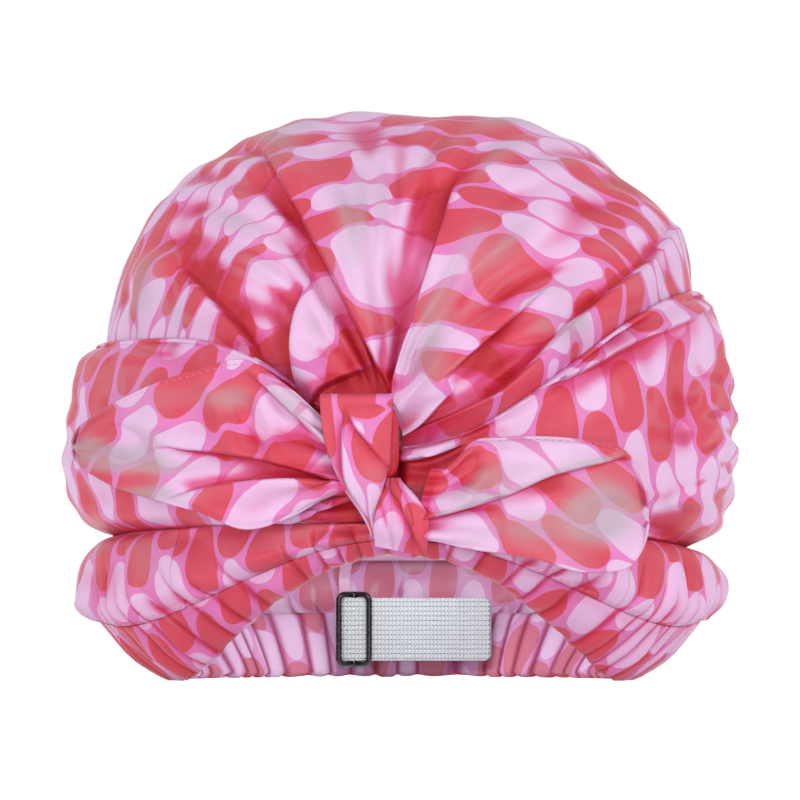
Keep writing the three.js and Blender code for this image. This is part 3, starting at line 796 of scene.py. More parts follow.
# Wraps: cuffs round the head, whose folds run into the knot.
wraps = {
    "columns": 270,
    "rows": 92,
    "lip": 1.9,
    # how far the upper edge stands off the crown, and where it is drawn back behind the knot
    "overCrown": 0.85,
    "drawnOut": 0.9,
    "drawnAbove": 68,
    "left": {
        "start": -6.2 * degree,
        "power": 0.75,
        "drawn": (-15, -12.4),
        "waves": 0.5,
        "print": (0, 0),
        "creases": [
            crease(1, (366, 522, 4, 8), (336, 524, 4.5, 10), (306, 536, 3.5, 10), (280, 546, 0, 10)),
            crease(
                1, (350, 500, 5, 6), (322, 510, 5, 8), (290, 524, 4.5, 10), (262, 534, 3.5, 10),
                (240, 530, 0, 8), shade=1.1,
            ),
            crease(-1, (368, 532, 3, 6), (350, 546, 3, 6), (330, 554, 0, 6)),
            crease(-1, (320, 430, 4, 8), (288, 402, 4.5, 9), (262, 382, 4, 9), (238, 366, 0, 8)),
            crease(0, (260, 531, 2.5, 2.4), (236, 526, 2.5, 2.6), (205, 526, 2, 3), (160, 524, 0, 3)),
            crease(
                0, (80, 360, 0, 1.6), (110, 352, -1.6, 1.6), (150, 353, -1.6, 1.6), (200, 360, 0, 1.6),
                shade=1.4,
            ),
        ],
        # painted sheen, and painted shade where the strength is below 0
        "sheen": [(120, 400, 30, 40, 0.3), (316, 425, 9, 24, -1.2)],
        "sway": 2,
    },
    "right": {
        "start": -6 * degree,
        "power": 1.33,
        "drawn": (1.5, -0.5),
        "waves": 1.0,
        "print": (40, 9),
        "creases": [
            crease(  # under the rolled lip
                -1, (392, 452, 2, 5), (430, 436, 3.5, 6), (468, 419, 3.5, 6), (500, 404, 3.5, 6),
                (543, 386, 3.5, 6), (572, 376, 4, 7), (602, 361, 4, 7), (638, 341, 4, 7),
                (672, 327, 4, 7), (706, 312, 3, 7),
            ),
            crease(
                -1, (388, 463, 6, 5), (420, 459, 6, 6), (450, 449, 4.5, 6), (480, 440, 0, 6), shade=1.2,
                under=9,
            ),
            crease(0, (412, 466, 0, 2.6), (460, 449, 2, 3.4), (510, 434, 2, 4), (560, 424, 0, 5)),
            crease(0, (734, 388, 3, 3), (716, 396, 3.6, 3), (702, 410, 3, 3), (692, 428, 0, 3)),
            crease(0, (736, 418, 3, 3), (718, 424, 3.6, 3), (702, 440, 3, 3), (686, 456, 0, 3)),
            crease(0, (738, 448, 3, 3), (718, 454, 3.6, 3), (700, 470, 3.4, 3), (680, 486, 0, 3)),
            crease(0, (732, 480, 3, 3), (712, 486, 3.6, 3), (692, 500, 3.6, 3), (664, 508, 0, 3)),
            crease(0, (700, 500, 0, 3), (682, 512, -4, 3), (664, 520, -4, 3), (640, 520, 0, 3), shade=1.8),
            crease(
                0, (690, 482, 0, 2.6), (676, 490, -3, 3), (660, 496, -3, 3), (640, 492, 0, 3), shade=1.6,
            ),
        ],
        # painted sheen, and painted shade where the strength is below 0
        "sheen": [(520, 410, 30, 22, 0.5), (402, 470, 16, 9, -1.3)],
        "sway": 6,
    },
}


def wrapPlaces(azimuth, v, wrap):
    lip = ovalRadius(azimuth, rings["crown"]) + wraps["overCrown"]
    valley = valleyRadius(azimuth)
    widest = ovalRadius(azimuth, rings["wrap"])
    low, middle, top = grooveHeight(azimuth) - 0.4, around(azimuth, heights["wrap"]), wrapTop(azimuth)
    upper = between(lip, widest, 0.66)
    radius = curveThrough([valley, between(valley, widest, 0.76), widest, upper, lip], v)
    height = curveThrough([low, between(low, middle, 0.26), middle, between(middle, top, 0.76), top], v)
    fromKnot = np.abs(azimuth) / degree
    ends = smooth(v / 0.08) * smooth((1 - v) / 0.08)
    side = np.exp(-(((fromKnot - 88) / 26) ** 2))
    back = smooth((fromKnot - 105) / 20)
    waves = (wrap["waves"] * side + 0.8 * back) * 1.3 * smooth((v - 0.1) / 0.2) * smooth((0.8 - v) / 0.25)
    waves = waves * np.sin(2 * math.pi * (height / 15 + 0.5 * np.sin(azimuth * 5)))
    near = 1 - smooth((fromKnot - 8) / 34)
    gathers = near * 0.6 * np.sin(2 * math.pi * (v * 6.5 + 0.5 * softNoise(azimuth * 3, v, 13)))
    soft = 0.8 * softNoise(azimuth * 119 / 52, v * 2.2, 11) + 0.5 * softNoise(azimuth * 119 / 24, v * 3, 12)
    radius = radius + (soft + waves + gathers) * ends + wraps["lip"] * np.exp(-(((v - 0.965) / 0.03) ** 2))
    first, last = wrap["drawn"]
    behind = smooth((azimuth / degree - first) / (last - first))
    drawn = rings["crown"]["front"] + wraps["drawnOut"]
    radius = between(radius, drawn, behind * smooth((height - wraps["drawnAbove"]) / 7))
    places, fold, hidden = creased(onRing(azimuth, radius, height), wrap["creases"], ends, forward=4)
    # Painted light: sheen and shade patches, shade in the dips and sheen on the rises of the soft unevenness
    # and waves, deep shade on the part drawn back behind the knot, and shade along the groove at the foot.
    fold = fold - paintedSheenAndShade(places, wrap["sheen"]) - creasing["paintedBumpShading"] * (soft + 0.6 * waves) * ends
    fold = np.maximum(fold, behind * 1.1)
    hidden = hidden + 1.2 * np.stack([softNoise(azimuth * 3, v * 2, seed) for seed in (43, 44)], -1)
    hidden[..., 0] += wrap["sway"] * side * np.sin(2 * math.pi * height / 36 + 0.8)
    groove = np.exp(-((v / 0.06) ** 2)) * smooth((fromKnot - 34) / 20)
    return places, fold + groove, hidden


def makeWrap(name, node, first, last, wrap):
    u, v = np.meshgrid(np.linspace(0, 1, wraps["columns"]), np.linspace(0, 1, wraps["rows"]))
    places, fold, hidden = wrapPlaces(between(first, last, u ** wrap["power"]), v, wrap)
    piece = clothPiece(name, places, arcPrints(places, 0.5, 0.0, wrap["print"]) + hidden, fold=fold)
    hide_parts(node)


left, right = wraps["left"], wraps["right"]
makeWrap("wrap_cuff_left", "wrap_roll_left", seamLeft, left["start"], left)
makeWrap("wrap_cuff_right", "wrap_roll_right", right["start"], seamRight, right)
print("stage: wraps")

# Hem: the casing round the elastic, and three panels puffed over it.
hem = {
    "gathers": 62,
    "casingColumns": 1100,
    "casingRows": 30,
    "panelColumns": 900,
    "panelRows": 44,
    "gatherDepth": 4.4,
    "puff": 3.4,
    "scallop": 2.6,
    "printShare": 1.15,
}
elastic = {"thickness": 1.3, "room": 0.55, "margin": 2.3, "width": 4.2}
casingSpacing = cloth["thickness"] + elastic["thickness"] + 2 * elastic["room"]


def gatherPhase(azimuth):
    bend = 1.6 * np.sin(5 * azimuth + 0.7) + 1.5 * np.sin(11 * azimuth + 2.1) + 1.1 * np.sin(17 * azimuth + 4)
    return hem["gathers"] * (azimuth - backSeam) + bend


def gatherPuff(azimuth, halved=False):
    # 0 in each valley and up to 1 on each puff.
    phase = gatherPhase(azimuth) / (2 if halved else 1)
    size = 0.68 + 0.32 * np.sin(7 * azimuth + 1.1) * np.sin(19 * azimuth + 0.4)
    return size * np.abs(np.sin(phase / 2)) ** 0.65


def hemHeight(azimuth):
    rise = (np.cos(azimuth) - math.cos(archEnd)) / (1 - math.cos(archEnd))
    return heights["arch"] * np.maximum(rise, 0) ** heights["archPower"]


def casingFrame(azimuth):
    footR = ovalRadius(azimuth, rings["hem"])
    footZ = hemHeight(azimuth) + (casingSpacing + cloth["thickness"]) / 2 - 0.5
    topR = ovalRadius(azimuth, rings["casingTop"])
    topZ = hemHeight(azimuth) + around(azimuth, heights["casing"])
    length = np.hypot(topR - footR, topZ - footZ)
    upR, upZ = (topR - footR) / length, (topZ - footZ) / length
    return footR, footZ, topR, topZ, upR, upZ


def leaning(azimuth, height):
    # The gathers stand square to the hem's edge, which climbs over the arch.
    step = 0.01
    climb = (hemHeight(azimuth + step) - hemHeight(azimuth - step)) / (2 * step) / 90
    return azimuth + np.clip(climb, -1.1, 1.1) * (height - hemHeight(azimuth)) / 95


def casingPlaces(azimuth, v):
    footR, footZ, topR, topZ, upR, upZ = casingFrame(azimuth)
    outR, outZ = upZ, -upR
    half = casingSpacing / 2
    folded = np.abs(v - 0.55) / 0.45
    turned = leaning(azimuth, between(footZ, topZ, folded))
    puff = gatherPuff(turned)
    lipGap = cloth["thickness"] + cloth["gap"] - half

    def at(r, z, across, along):
        return r + outR * across + upR * along, z + outZ * across + upZ * along

    middleR, middleZ = (footR + topR) / 2, (footZ + topZ) / 2
    scallop = (1 - puff) * hem["scallop"]
    profile = [
        at(topR, topZ, -lipGap, 0),
        at(topR, topZ, -half, -2 * half),
        at(middleR, middleZ, -half - 2.4 * puff, 0),
        at(footR, footZ, -half - 0.8 * puff, half / 2),
        (footR - half / 2, footZ - half + scallop),
        (footR + half / 2, footZ - half + scallop),
        at(footR, footZ, half + 2.0 * puff, half / 2),
        at(middleR, middleZ, half + hem["gatherDepth"] * puff, 0),
        at(topR, topZ, half, 0),
    ]
    radius = curveThrough([p[0] for p in profile], v)
    height = curveThrough([p[1] for p in profile], v)
    # fold is painted shade: in each gather's valley, along the top edge, and on the inner side, more at the
    # front than at the back.
    fold = (1 - np.abs(np.sin(gatherPhase(turned) / 2))) ** 2 * 0.9
    behind = smooth((np.abs(azimuth) / degree - 75) / 20)
    inner = 1 - smooth((v - 0.44) / 0.06)
    fold = np.maximum(fold, 0.3 * smooth((v - 0.93) / 0.05)) + inner * between(0.6, 0.1, behind)
    return onRing(azimuth, radius, np.maximum(height, 0.35)), fold


def hemPanelPlaces(azimuth, v):
    footR, footZ, topR, topZ, upR, upZ = casingFrame(azimuth)
    outR, outZ = upZ, -upR
    rise = cloth["gap"] + cloth["thickness"] / 2
    startR = topR + outR * casingSpacing / 2 + upR * rise
    startZ = topZ + outZ * casingSpacing / 2 + upZ * rise
    widest, middle = ovalRadius(azimuth, rings["lowerRoll"]), around(azimuth, heights["lowerRoll"])
    groove, end = valleyRadius(azimuth), grooveHeight(azimuth) - 1.0
    startR, startZ = startR - 1.2 * upR - 0.5 * outR, startZ - 1.2 * upZ - 0.5 * outZ
    lower, upper = between(startR, widest, 0.72), between(groove, widest, 0.68)
    radius = curveThrough([startR, lower, widest, upper, groove], v)
    height = curveThrough([startZ, between(startZ, middle, 0.4), middle, between(middle, end, 0.7), end], v)
    drift = leaning(azimuth, between(topZ, end, v)) + 0.05 * v * np.sin(6 * azimuth + 1)
    near = 1.2 * gatherPuff(drift) * smooth(v / 0.06) * (1 - smooth((v - 0.1) / 0.45))
    far = gatherPuff(drift, True) * smooth(v / 0.25) * (1 - smooth((v - 0.25) / 0.6))
    soft = 0.9 * softNoise(azimuth * 110 / 34, v * 1.6, 21) * smooth(v / 0.1) * smooth((1 - v) / 0.12)
    # fold is painted light: shade in the gathers' valleys near the casing and along the seam with it, shade
    # along the groove at the top, and shade in the dips and sheen on the rises of the soft unevenness.
    valley = (1 - np.abs(np.sin(gatherPhase(drift) / 2))) ** 2
    groove = np.exp(-(((1 - v) / 0.08) ** 2)) * smooth((np.abs(azimuth) / degree - 34) / 20)
    fold = np.maximum(valley * (1 - smooth(v / 0.4)), groove)
    fold = np.maximum(fold, 0.35 * np.exp(-((v / 0.04) ** 2))) - creasing["paintedBumpShading"] * soft
    return onRing(azimuth, radius + hem["puff"] * (near + 1.1 * far) + soft, height), fold


def makeHem():
    columns = np.linspace(seamLeft, seamRight, hem["casingColumns"])
    azimuth, v = np.meshgrid(columns, np.linspace(0, 1, hem["casingRows"]))
    places, fold = casingPlaces(azimuth, v)
    prints = arcPrints(places, 0.8, 0.05, (0, 4)) * hem["printShare"]
    piece = clothPiece("hem_casing_cloth", places, prints, fold=fold, turned=int(0.5 * hem["casingRows"]))
    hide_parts("hem_casing")
    seamRoom = cloth["seam"] / rings["casingTop"]["side"]
    panels = {
        "hem_front": (-sideSeam, sideSeam),
        "hem_left": (seamLeft, -sideSeam - seamRoom),
        "hem_right": (sideSeam + seamRoom, seamRight),
    }
    for place, (node, (first, last)) in enumerate(panels.items()):
        count = int((last - first) / (2 * math.pi) * hem["panelColumns"])
        azimuth, v = np.meshgrid(np.linspace(first, last, count), np.linspace(0, 1, hem["panelRows"]))
        places, fold = hemPanelPlaces(azimuth, v)
        prints = arcPrints(places, 0.6, 0.0, (15 + 30 * place, 12)) * hem["printShare"]
        panel = clothPiece(node + "_cloth", places, prints, fold=fold)
        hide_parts(node)


makeHem()
print("stage: hem")

# Bow petals: cupped leaves of doubled cloth with knife folds, from the knot to a soft tip.
petals = {
    "thickness": 0.9,
    "cup": 5,
    "columns": 170,
    "rows": 100,
    "rootShare": 0.06,
    "left": {
        "root": (-24.2, 84),
        "slant": 0,
        "reach": -100,
        "height": 61,
        "upper": [0.2, 0.42, 0.59, 0.54, 0.46, 0.34, 0.2],
        "lower": [-0.23, -0.37, -0.44, -0.34, -0.26, -0.17, -0.04],
        "blunt": 0.06,
        "standOff": [0.05, 0.07, 0.09, 0.11, 0.14, 0.18, 0.23],
        "creases": [
            crease(  # middle crease, the upper facet on top
                1, (345, 482, 2, 8), (316, 474, 5, 10), (277, 463, 6.5, 14), (243, 456, 6.5, 16),
                (209, 451, 6, 16), (186, 449, 4.5, 14), (164, 446, 2.5, 12), (143, 452, 0, 10),
            ),
            crease(  # lower facet on top
                -1, (346, 484, 5, 8), (303, 480, 6.5, 12), (260, 481, 6.5, 14), (220, 486, 5.5, 14),
                (190, 493, 4, 12), (162, 502, 0, 10), shade=0.9,
            ),
            crease(0, (206, 384, 1, 3), (216, 406, 3, 3.4), (228, 432, 3.4, 3.6), (238, 454, 2, 3)),
            crease(0, (252, 374, 0, 4), (264, 402, 2.4, 4), (272, 430, 2.6, 4), (277, 458, 1.4, 4)),
            crease(
                0, (232, 384, 0, 3.4), (243, 410, -2, 4), (254, 436, -2.4, 4), (262, 456, -1.4, 4),
                shade=1.2,
            ),
            crease(1, (322, 440, 3, 6), (294, 414, 4, 7), (268, 388, 3.6, 7), (244, 368, 0, 6)),
            crease(
                0, (84, 436, 0, 4), (106, 434, -3.4, 5), (130, 440, -4, 6), (146, 452, -1, 5), shade=1.8,
            ),
            crease(0, (96, 424, 0, 3), (120, 422, 2, 3), (144, 430, 2.4, 3), (170, 446, 0, 3)),
            crease(0, (74, 455, 0, 3), (96, 458, 2.4, 4), (118, 468, 2.8, 4), (140, 488, 0, 4)),
        ],
        "sheen": [
            (108, 450, 44, 22, 1.2), (180, 466, 50, 11, 1.1), (225, 398, 60, 14, 0.7),
            (290, 412, 20, 16, 0.5), (150, 494, 50, 8, 0.8),
        ],
    },
    "right": {
        "root": (11.2, 66),
        "slant": 5,
        "reach": 81.5,
        "height": 52,
        "upper": [0.26, 0.45, 0.48, 0.49, 0.475, 0.44, 0.3],
        "lower": [-0.25, -0.31, -0.345, -0.39, -0.47, -0.47, -0.42],
        "blunt": 0.13,
        "standOff": [0.095, 0.12, 0.14, 0.15, 0.17, 0.19, 0.2],
        "creases": [
            crease(  # long crease, the upper facet on top
                -1, (428, 519, 4, 8), (449, 513, 6, 12), (474, 505, 6.5, 14), (506, 495, 6, 14),
                (526, 486, 5.5, 13), (549, 476, 5, 12), (583, 466, 4.5, 9), (611, 460, 3.5, 6),
                (630, 452, 2, 4),
            ),
            crease(0, (448, 508, 2, 3), (468, 494, 4, 3.2), (484, 476, 4, 3.2), (500, 458, 0, 3.6)),
            crease(
                0, (440, 500, 0, 3), (456, 484, -2.4, 3), (470, 466, -2.6, 3), (480, 450, 0, 3),
                shade=1.4,
            ),
            crease(0, (430, 536, 2, 3), (470, 534, 2, 3.4), (520, 544, 1.4, 4), (570, 556, 0, 5)),
            crease(0, (560, 486, 0, 6), (576, 510, 1.6, 7), (586, 534, 1.8, 7), (590, 556, 0, 6)),
        ],
        "sheen": [
            (540, 524, 80, 22, 0.8), (606, 506, 32, 46, 1.0), (480, 490, 30, 14, 0.8),
            (540, 470, 50, 10, 0.5),
        ],
    },
}


def petalPlaces(petal, along, v):
    rootX, rootZ = petal["root"]
    x = rootX + petal["reach"] * along + petal["slant"] * v * v * (1 - smooth(along / 0.3))
    upper, lower = curveThrough(petal["upper"], along), curveThrough(petal["lower"], along)
    # the tip is rounded off
    past = np.clip((along - 1 + petal["blunt"]) / petal["blunt"], 0, 1)
    rounding = np.sqrt(1 - 0.96 * past**2.4)
    middle = (upper + lower) / 2
    z = rootZ + petal["height"] * (middle + (v - 0.5) * (upper - lower) * rounding)
    surface = rings["wrap"]["front"] * np.sqrt(1 - (x / rings["wrap"]["side"]) ** 2)
    standOff = abs(petal["reach"]) * curveThrough(petal["standOff"], along)
    rim = (2 * v - 1) ** 2 * smooth(3 * along)
    edges = smooth(v / 0.1) * smooth((1 - v) / 0.1)
    soft = 0.7 * softNoise(along * 2.2, v * 1.7, 31) * smooth(along * 3)
    soft = soft + 0.3 * softNoise(along * 3, v * 5, 32) * edges
    radiating = 0.9 * np.sin(9 * math.pi * v + 2 * along) * (1 - smooth(along / 0.4)) * edges
    depth = surface + standOff + petals["cup"] * rim + soft + radiating
    places = np.stack(np.broadcast_arrays(x, -depth, z), -1)
    free = smooth(v / 0.05) * smooth((1 - v) / 0.05)
    places, fold, hidden = creased(places, petal["creases"], free, forward=4)
    # Painted light: sheen and shade patches, shade in the dips and sheen on the rises of the soft unevenness
    # and radiating folds, and shade at the root, where the petal goes under the knot.
    fold = fold - paintedSheenAndShade(places, petal["sheen"]) - creasing["paintedBumpShading"] * (soft + 0.5 * radiating)
    shadedRoot = 1 - smooth((along + 0.03) / 0.05)
    return places, fold + np.maximum(0.6 - fold, 0) * shadedRoot, hidden


def makePetal(name, node, petal, turn, start):
    u, v = np.meshgrid(np.linspace(0, 1, petals["columns"]), np.linspace(0, 1, petals["rows"]))
    along = 1 - u if petal["reach"] < 0 else u
    along = between(-petals["rootShare"], 1, along)
    places, fold, hidden = petalPlaces(petal, along, v)
    prints = arcPrints(places, 0.5, turn, start) + hidden
    piece = clothPiece(name, places, prints, materials=[satin], shown=petals["thickness"], fold=fold)
    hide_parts(node)


makePetal("petal_left", "bow_petal_left", petals["left"], 40 * degree, (6, 10))
makePetal("petal_right", "bow_petal_right", petals["right"], -50 * degree, (10, 3))
print("stage: petals")

# Knot: a gathered core, the band folded down over it, and its end at the lower right.
knot = {
    "x": -12,
    "top": 107,
    "foot": 55,
    "back": 99.3,
    "coreHalf": (11.8, 8.5, 14.2),
    "coreHeight": 89.4,
    "roundness": 0.48,
    "shown": 1.0,
    "bandWidth": 27,
    "bandLeft": [0.06, -0.1, -0.33, -0.48, -0.58, -0.63, -0.65],
    "bandRight": [0.11, 0.12, 0.2, 0.28, 0.31, 0.33, 0.34],
    "bandDepth": [0.2, 0.72, 0.95, 1, 1, 0.95, 0.8],
    "bandHollow": -7,
    "endLeft": [-0.08, -0.11, -0.06, 0.05, 0.14],
    "endRight": [1.05, 1.08, 1.08, 0.82, 0.45],
    "endDepth": [0.15, 0.75, 1, 0.85, 0.3],
    "end": {"width": 16.5, "top": 76, "foot": 47, "depth": 9.6},
    "bandCreases": [
        crease(
            -1, (345, 398, 0, 5), (344, 420, 1.3, 6), (343, 450, 1.5, 6), (346, 481, 1.4, 5),
            (360, 506, 0.6, 4), shade=2.4, jump=6, under=4,
        ),
        crease(
            -1, (347, 392, 0, 5), (350, 416, 1.3, 6), (366, 440, 1.5, 6), (386, 464, 1.2, 5), shade=2.4,
            jump=-6, under=4,
        ),
    ],
    "endCreases": [
        crease(
            -1, (382, 480, 0.8, 4), (398, 498, 1.4, 5), (408, 520, 1.5, 5), (424, 554, 0.8, 4), shade=2.2,
            jump=7, under=4,
        ),
        crease(0, (379, 497, -0.6, 1.3), (384, 515, -0.9, 1.3), (390, 542, -0.2, 1.2), shade=9),
    ],
}
wrapFront = rings["wrap"]["front"]
bandDepth = knot["back"] + 2 * knot["coreHalf"][1] - wrapFront + cloth["thickness"] / 2 + cloth["gap"]


def bandPlaces(u, v):
    # its last tenth turns back into the hollow
    turned = smooth((v - 0.9) / 0.1)
    up = np.minimum(v / 0.93, 1)
    left = knot["x"] + knot["bandWidth"] * curveThrough(knot["bandLeft"], up)
    right = knot["x"] + knot["bandWidth"] * curveThrough(knot["bandRight"], up)
    crease = 0.62 - 0.3 * (v - 0.5)
    ridge = 2.2 * np.maximum(1 - np.abs(u - crease) / 0.5, 0)
    edge = (1 - np.abs(2 * u - 1) ** 6) * 1.6
    folds = 0.4 * np.sin(7 * math.pi * u + 3 * v) * (1 - smooth(v / 0.35))
    outer = bandDepth * curveThrough(knot["bandDepth"], up) + ridge + edge - 1.2 + folds
    depth = between(outer, knot["bandHollow"], turned)
    height = between(knot["foot"], knot["top"], up) - 1.5 * smooth((v - 0.95) / 0.05)
    places = np.stack(np.broadcast_arrays(between(left, right, u), -wrapFront - depth, height), -1)
    free = smooth((0.88 - v) / 0.06) * smooth(v / 0.05)
    places, fold, hidden = creased(places, knot["bandCreases"], free)
    # The part turned back into the hollow is painted in deep shade.
    return places, np.maximum(0.9 * turned, fold), hidden


def endPlaces(u, v):
    end = knot["end"]
    side = knot["x"] + 0.16 * knot["bandWidth"]
    foot = end["foot"] + 4 * (1 - u)
    left, right = curveThrough(knot["endLeft"], v), curveThrough(knot["endRight"], v)
    x = side + end["width"] * between(left, right, u)
    pleat = np.abs(np.sin(2.5 * math.pi * u + 0.4 + 0.8 * v))
    edge = (1 - np.abs(2 * u - 1) ** 5) * 1.2
    depth = end["depth"] * curveThrough(knot["endDepth"], v) + pleat * 1.1 + edge - 0.5
    places = np.stack(np.broadcast_arrays(x, -wrapFront - depth, between(foot, end["top"], v)), -1)
    places, fold, hidden = creased(places, knot["endCreases"])
    # Painted shade in the pleats' valleys.
    return places, np.maximum(0.3 * (1 - pleat) ** 1.5, fold), hidden


def makeKnotCore():
    # A bunch of cloth: a squared ball with gathers that run down it.
    bm = bmesh.new()
    bmesh.ops.create_uvsphere(bm, u_segments=96, v_segments=40, radius=1)
    layer = bm.loops.layers.uv.new("print")
    crease = bm.verts.layers.float.new("crease")
    fold = bm.verts.layers.float.new("fold")
    for vert in bm.verts:
        x, y, z = vert.co
        # The whole core is painted in deep shade, and its gathers' valleys get more painted shade through the
        # crease attribute.
        vert[fold] = 1.15
        turn = math.atan2(y, x)
        pleat = abs(math.sin(7 * turn + 1.5 * z)) ** 0.7
        grow = 1 - 0.12 * (1 - pleat) * (1 - abs(z) ** 3)
        vert[crease] = (1 - pleat) * 1.4 + 0.5
        squared = [math.copysign(abs(c) ** knot["roundness"], c) for c in (x, y, z)]
        half = knot["coreHalf"]
        middle = (knot["x"], -knot["back"] - half[1], knot["coreHeight"])
        vert.co = [(m + h * c * g) * mm for m, h, c, g in zip(middle, half, squared, (grow, grow, 1))]
    for face in bm.faces:
        face.smooth = True
        for loop in face.loops:
            loop[layer].uv = (loop.vert.co.x / mm * 1.2 + 4, loop.vert.co.z / mm)
    piece = objectFrom("knot_bunch", bm, [satin])
    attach(piece, "cap")
    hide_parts("knot_core")


def makeKnot():
    makeKnotCore()
    u, v = np.meshgrid(np.linspace(0, 1, 90), np.linspace(0, 1, 110))
    places, fold, hidden = bandPlaces(u, v)
    prints = arcPrints(places, 0.8, 0.15, (3, 12)) + hidden
    band = clothPiece("knot_band", places, prints, shown=knot["shown"], fold=fold)
    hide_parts("knot_wrap")
    u, v = np.meshgrid(np.linspace(0, 1, 70), np.linspace(0, 1, 70))
    places, fold, hidden = endPlaces(u, v)
    prints = arcPrints(places, 0.5, 0.5, (9, 4)) + hidden
    end = clothPiece("knot_end", places, prints, shown=knot["shown"], fold=fold)
    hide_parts("knot_tail")


makeKnot()
print("stage: knot")

# Size strap of knitted elastic, and its wire slide.
strap = {
    "width": 25,
    "middle": 19.3,
    "y": 80.3,
    "left": -24,
    "right": 36,
    "tail": 15,
    "foldGap": 0.5,
    "bend": 4,
    "corner": 2.4,
    "bulge": 9,
    "ribs": 20,
}
slide = {"wire": 2.3, "width": 14.4, "x": -18.4, "gap": 0.35, "corner": 2.6}


def strapPath():
    # The strap's middle line from above: from the casing's inner side round the bend, along the nape, and
    # round the fold to the end of its tail.
    footR, footZ, topR, topZ, upR, upZ = casingFrame(math.atan2(strap["left"], -rings["hem"]["back"]))
    share = (strap["middle"] - strap["width"] / 2 - footZ) / (topZ - footZ)
    inside = between(footR, topR, share) - (casingSpacing + cloth["thickness"]) / 2 / upZ
    outermost = strap["left"] - strap["bend"] / 4 - elastic["thickness"] / 2
    endY = math.sqrt((inside - cloth["gap"]) ** 2 - outermost**2)
    fold = (elastic["thickness"] + strap["foldGap"]) / 2
    left = strap["left"] - strap["bend"] / 4
    points = [(left, between(endY, strap["y"] + strap["bend"], t)) for t in np.linspace(0, 1, 8)]
    for t in np.linspace(0, 1, 10)[1:]:
        a, b, c = (1 - t) ** 2, 2 * t * (1 - t), t * t
        x = a * left + b * strap["left"] + c * (strap["left"] + strap["bend"])
        points.append((x, a * (strap["y"] + strap["bend"]) + b * strap["y"] + c * strap["y"]))
    last = strap["right"] - fold
    points += [(x, strap["y"]) for x in np.linspace(strap["left"] + strap["bend"], last, 150)[1:]]
    for turn in np.linspace(-math.pi / 2, math.pi / 2, 12)[1:]:
        points.append((last + fold * math.cos(turn), strap["y"] + fold + fold * math.sin(turn)))
    tail = np.linspace(last, strap["right"] - strap["tail"], 26)[1:]
    points += [(x, strap["y"] + 2 * fold) for x in tail]
    return np.array(points)


def makeStrap():
    path = strapPath()
    rows = np.linspace(-0.5, 0.5, 40)
    places = np.zeros((len(rows), len(path), 3))
    places[..., 0] = path[None, :, 0]
    doubled = smooth((path[:, 0] - strap["right"] + strap["bulge"]) / 2) * (path[:, 1] < strap["y"] + 0.1)
    ribs = 0.06 * np.cos(rows * 2 * math.pi * strap["ribs"])
    places[..., 1] = path[None, :, 1] - ribs[:, None] - 0.45 * doubled[None]
    edge = np.clip(1 - (strap["right"] - path[:, 0]) / strap["corner"], 0, 1)
    narrow = 1 - 2 * strap["corner"] * (1 - np.sqrt(1 - edge**2)) / strap["width"]
    waver = 1 - 0.004 * np.sin(path[:, 0] * 2.4)
    places[..., 2] = strap["middle"] + strap["width"] * rows[:, None] * (waver * narrow)[None]
    piece = clothPiece("size_strap", places, arcPrints(places), [knitted], elastic["thickness"])
    softEdge = piece.modifiers.new("softEdge", "BEVEL")
    softEdge.width = 0.3 * mm
    softEdge.segments = 2
    softEdge.limit_method = "ANGLE"
    softEdge.angle_limit = 60 * degree
    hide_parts("adjuster_strap")


def tubePlaces(path, radius, sides=20):
    # A round tube about a path in the same plane of view, with its frame turned by the path alone.
    forward = np.gradient(path, axis=0)
    if np.linalg.norm(path[0] - path[-1]) < 1e-6:
        forward[0] = forward[-1] = path[1] - path[-2]
    forward /= np.linalg.norm(forward, axis=-1, keepdims=True)
    depth = np.array([0, 1.0, 0])
    side = np.cross(forward, depth)
    side /= np.linalg.norm(side, axis=-1, keepdims=True)
    out = np.cross(side, forward)
    turn = np.linspace(0, 2 * math.pi, sides + 1)[:, None, None]
    return path[None] + radius * (np.cos(turn) * side[None] + np.sin(turn) * out[None])


def solidFrom(name, gridsOfPlaces, material, body):
    # Closed tubes: each grid is welded along its edges and its ends are filled.
    bm = bmesh.new()
    for places in gridsOfPlaces:
        rows, columns = places.shape[:2]
        made = bmesh.ops.create_grid(bm, x_segments=columns - 1, y_segments=rows - 1, size=0.5)["verts"]
        flat = np.array([vert.co[:2] for vert in made])
        flat = (flat - flat.min(0)) / np.ptp(flat, axis=0)
        for vert, (x, y) in zip(made, flat):
            vert.co = places[round(y * (rows - 1)), round(x * (columns - 1))] * mm
    bmesh.ops.remove_doubles(bm, verts=bm.verts, dist=0.002 * mm)
    rims = [edge for edge in bm.edges if edge.is_boundary]
    bmesh.ops.holes_fill(bm, edges=rims)
    bmesh.ops.recalc_face_normals(bm, faces=bm.faces)
    for face in bm.faces:
        face.smooth = True
    piece = objectFrom(name, bm, [material])
    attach(piece, body)
    return piece


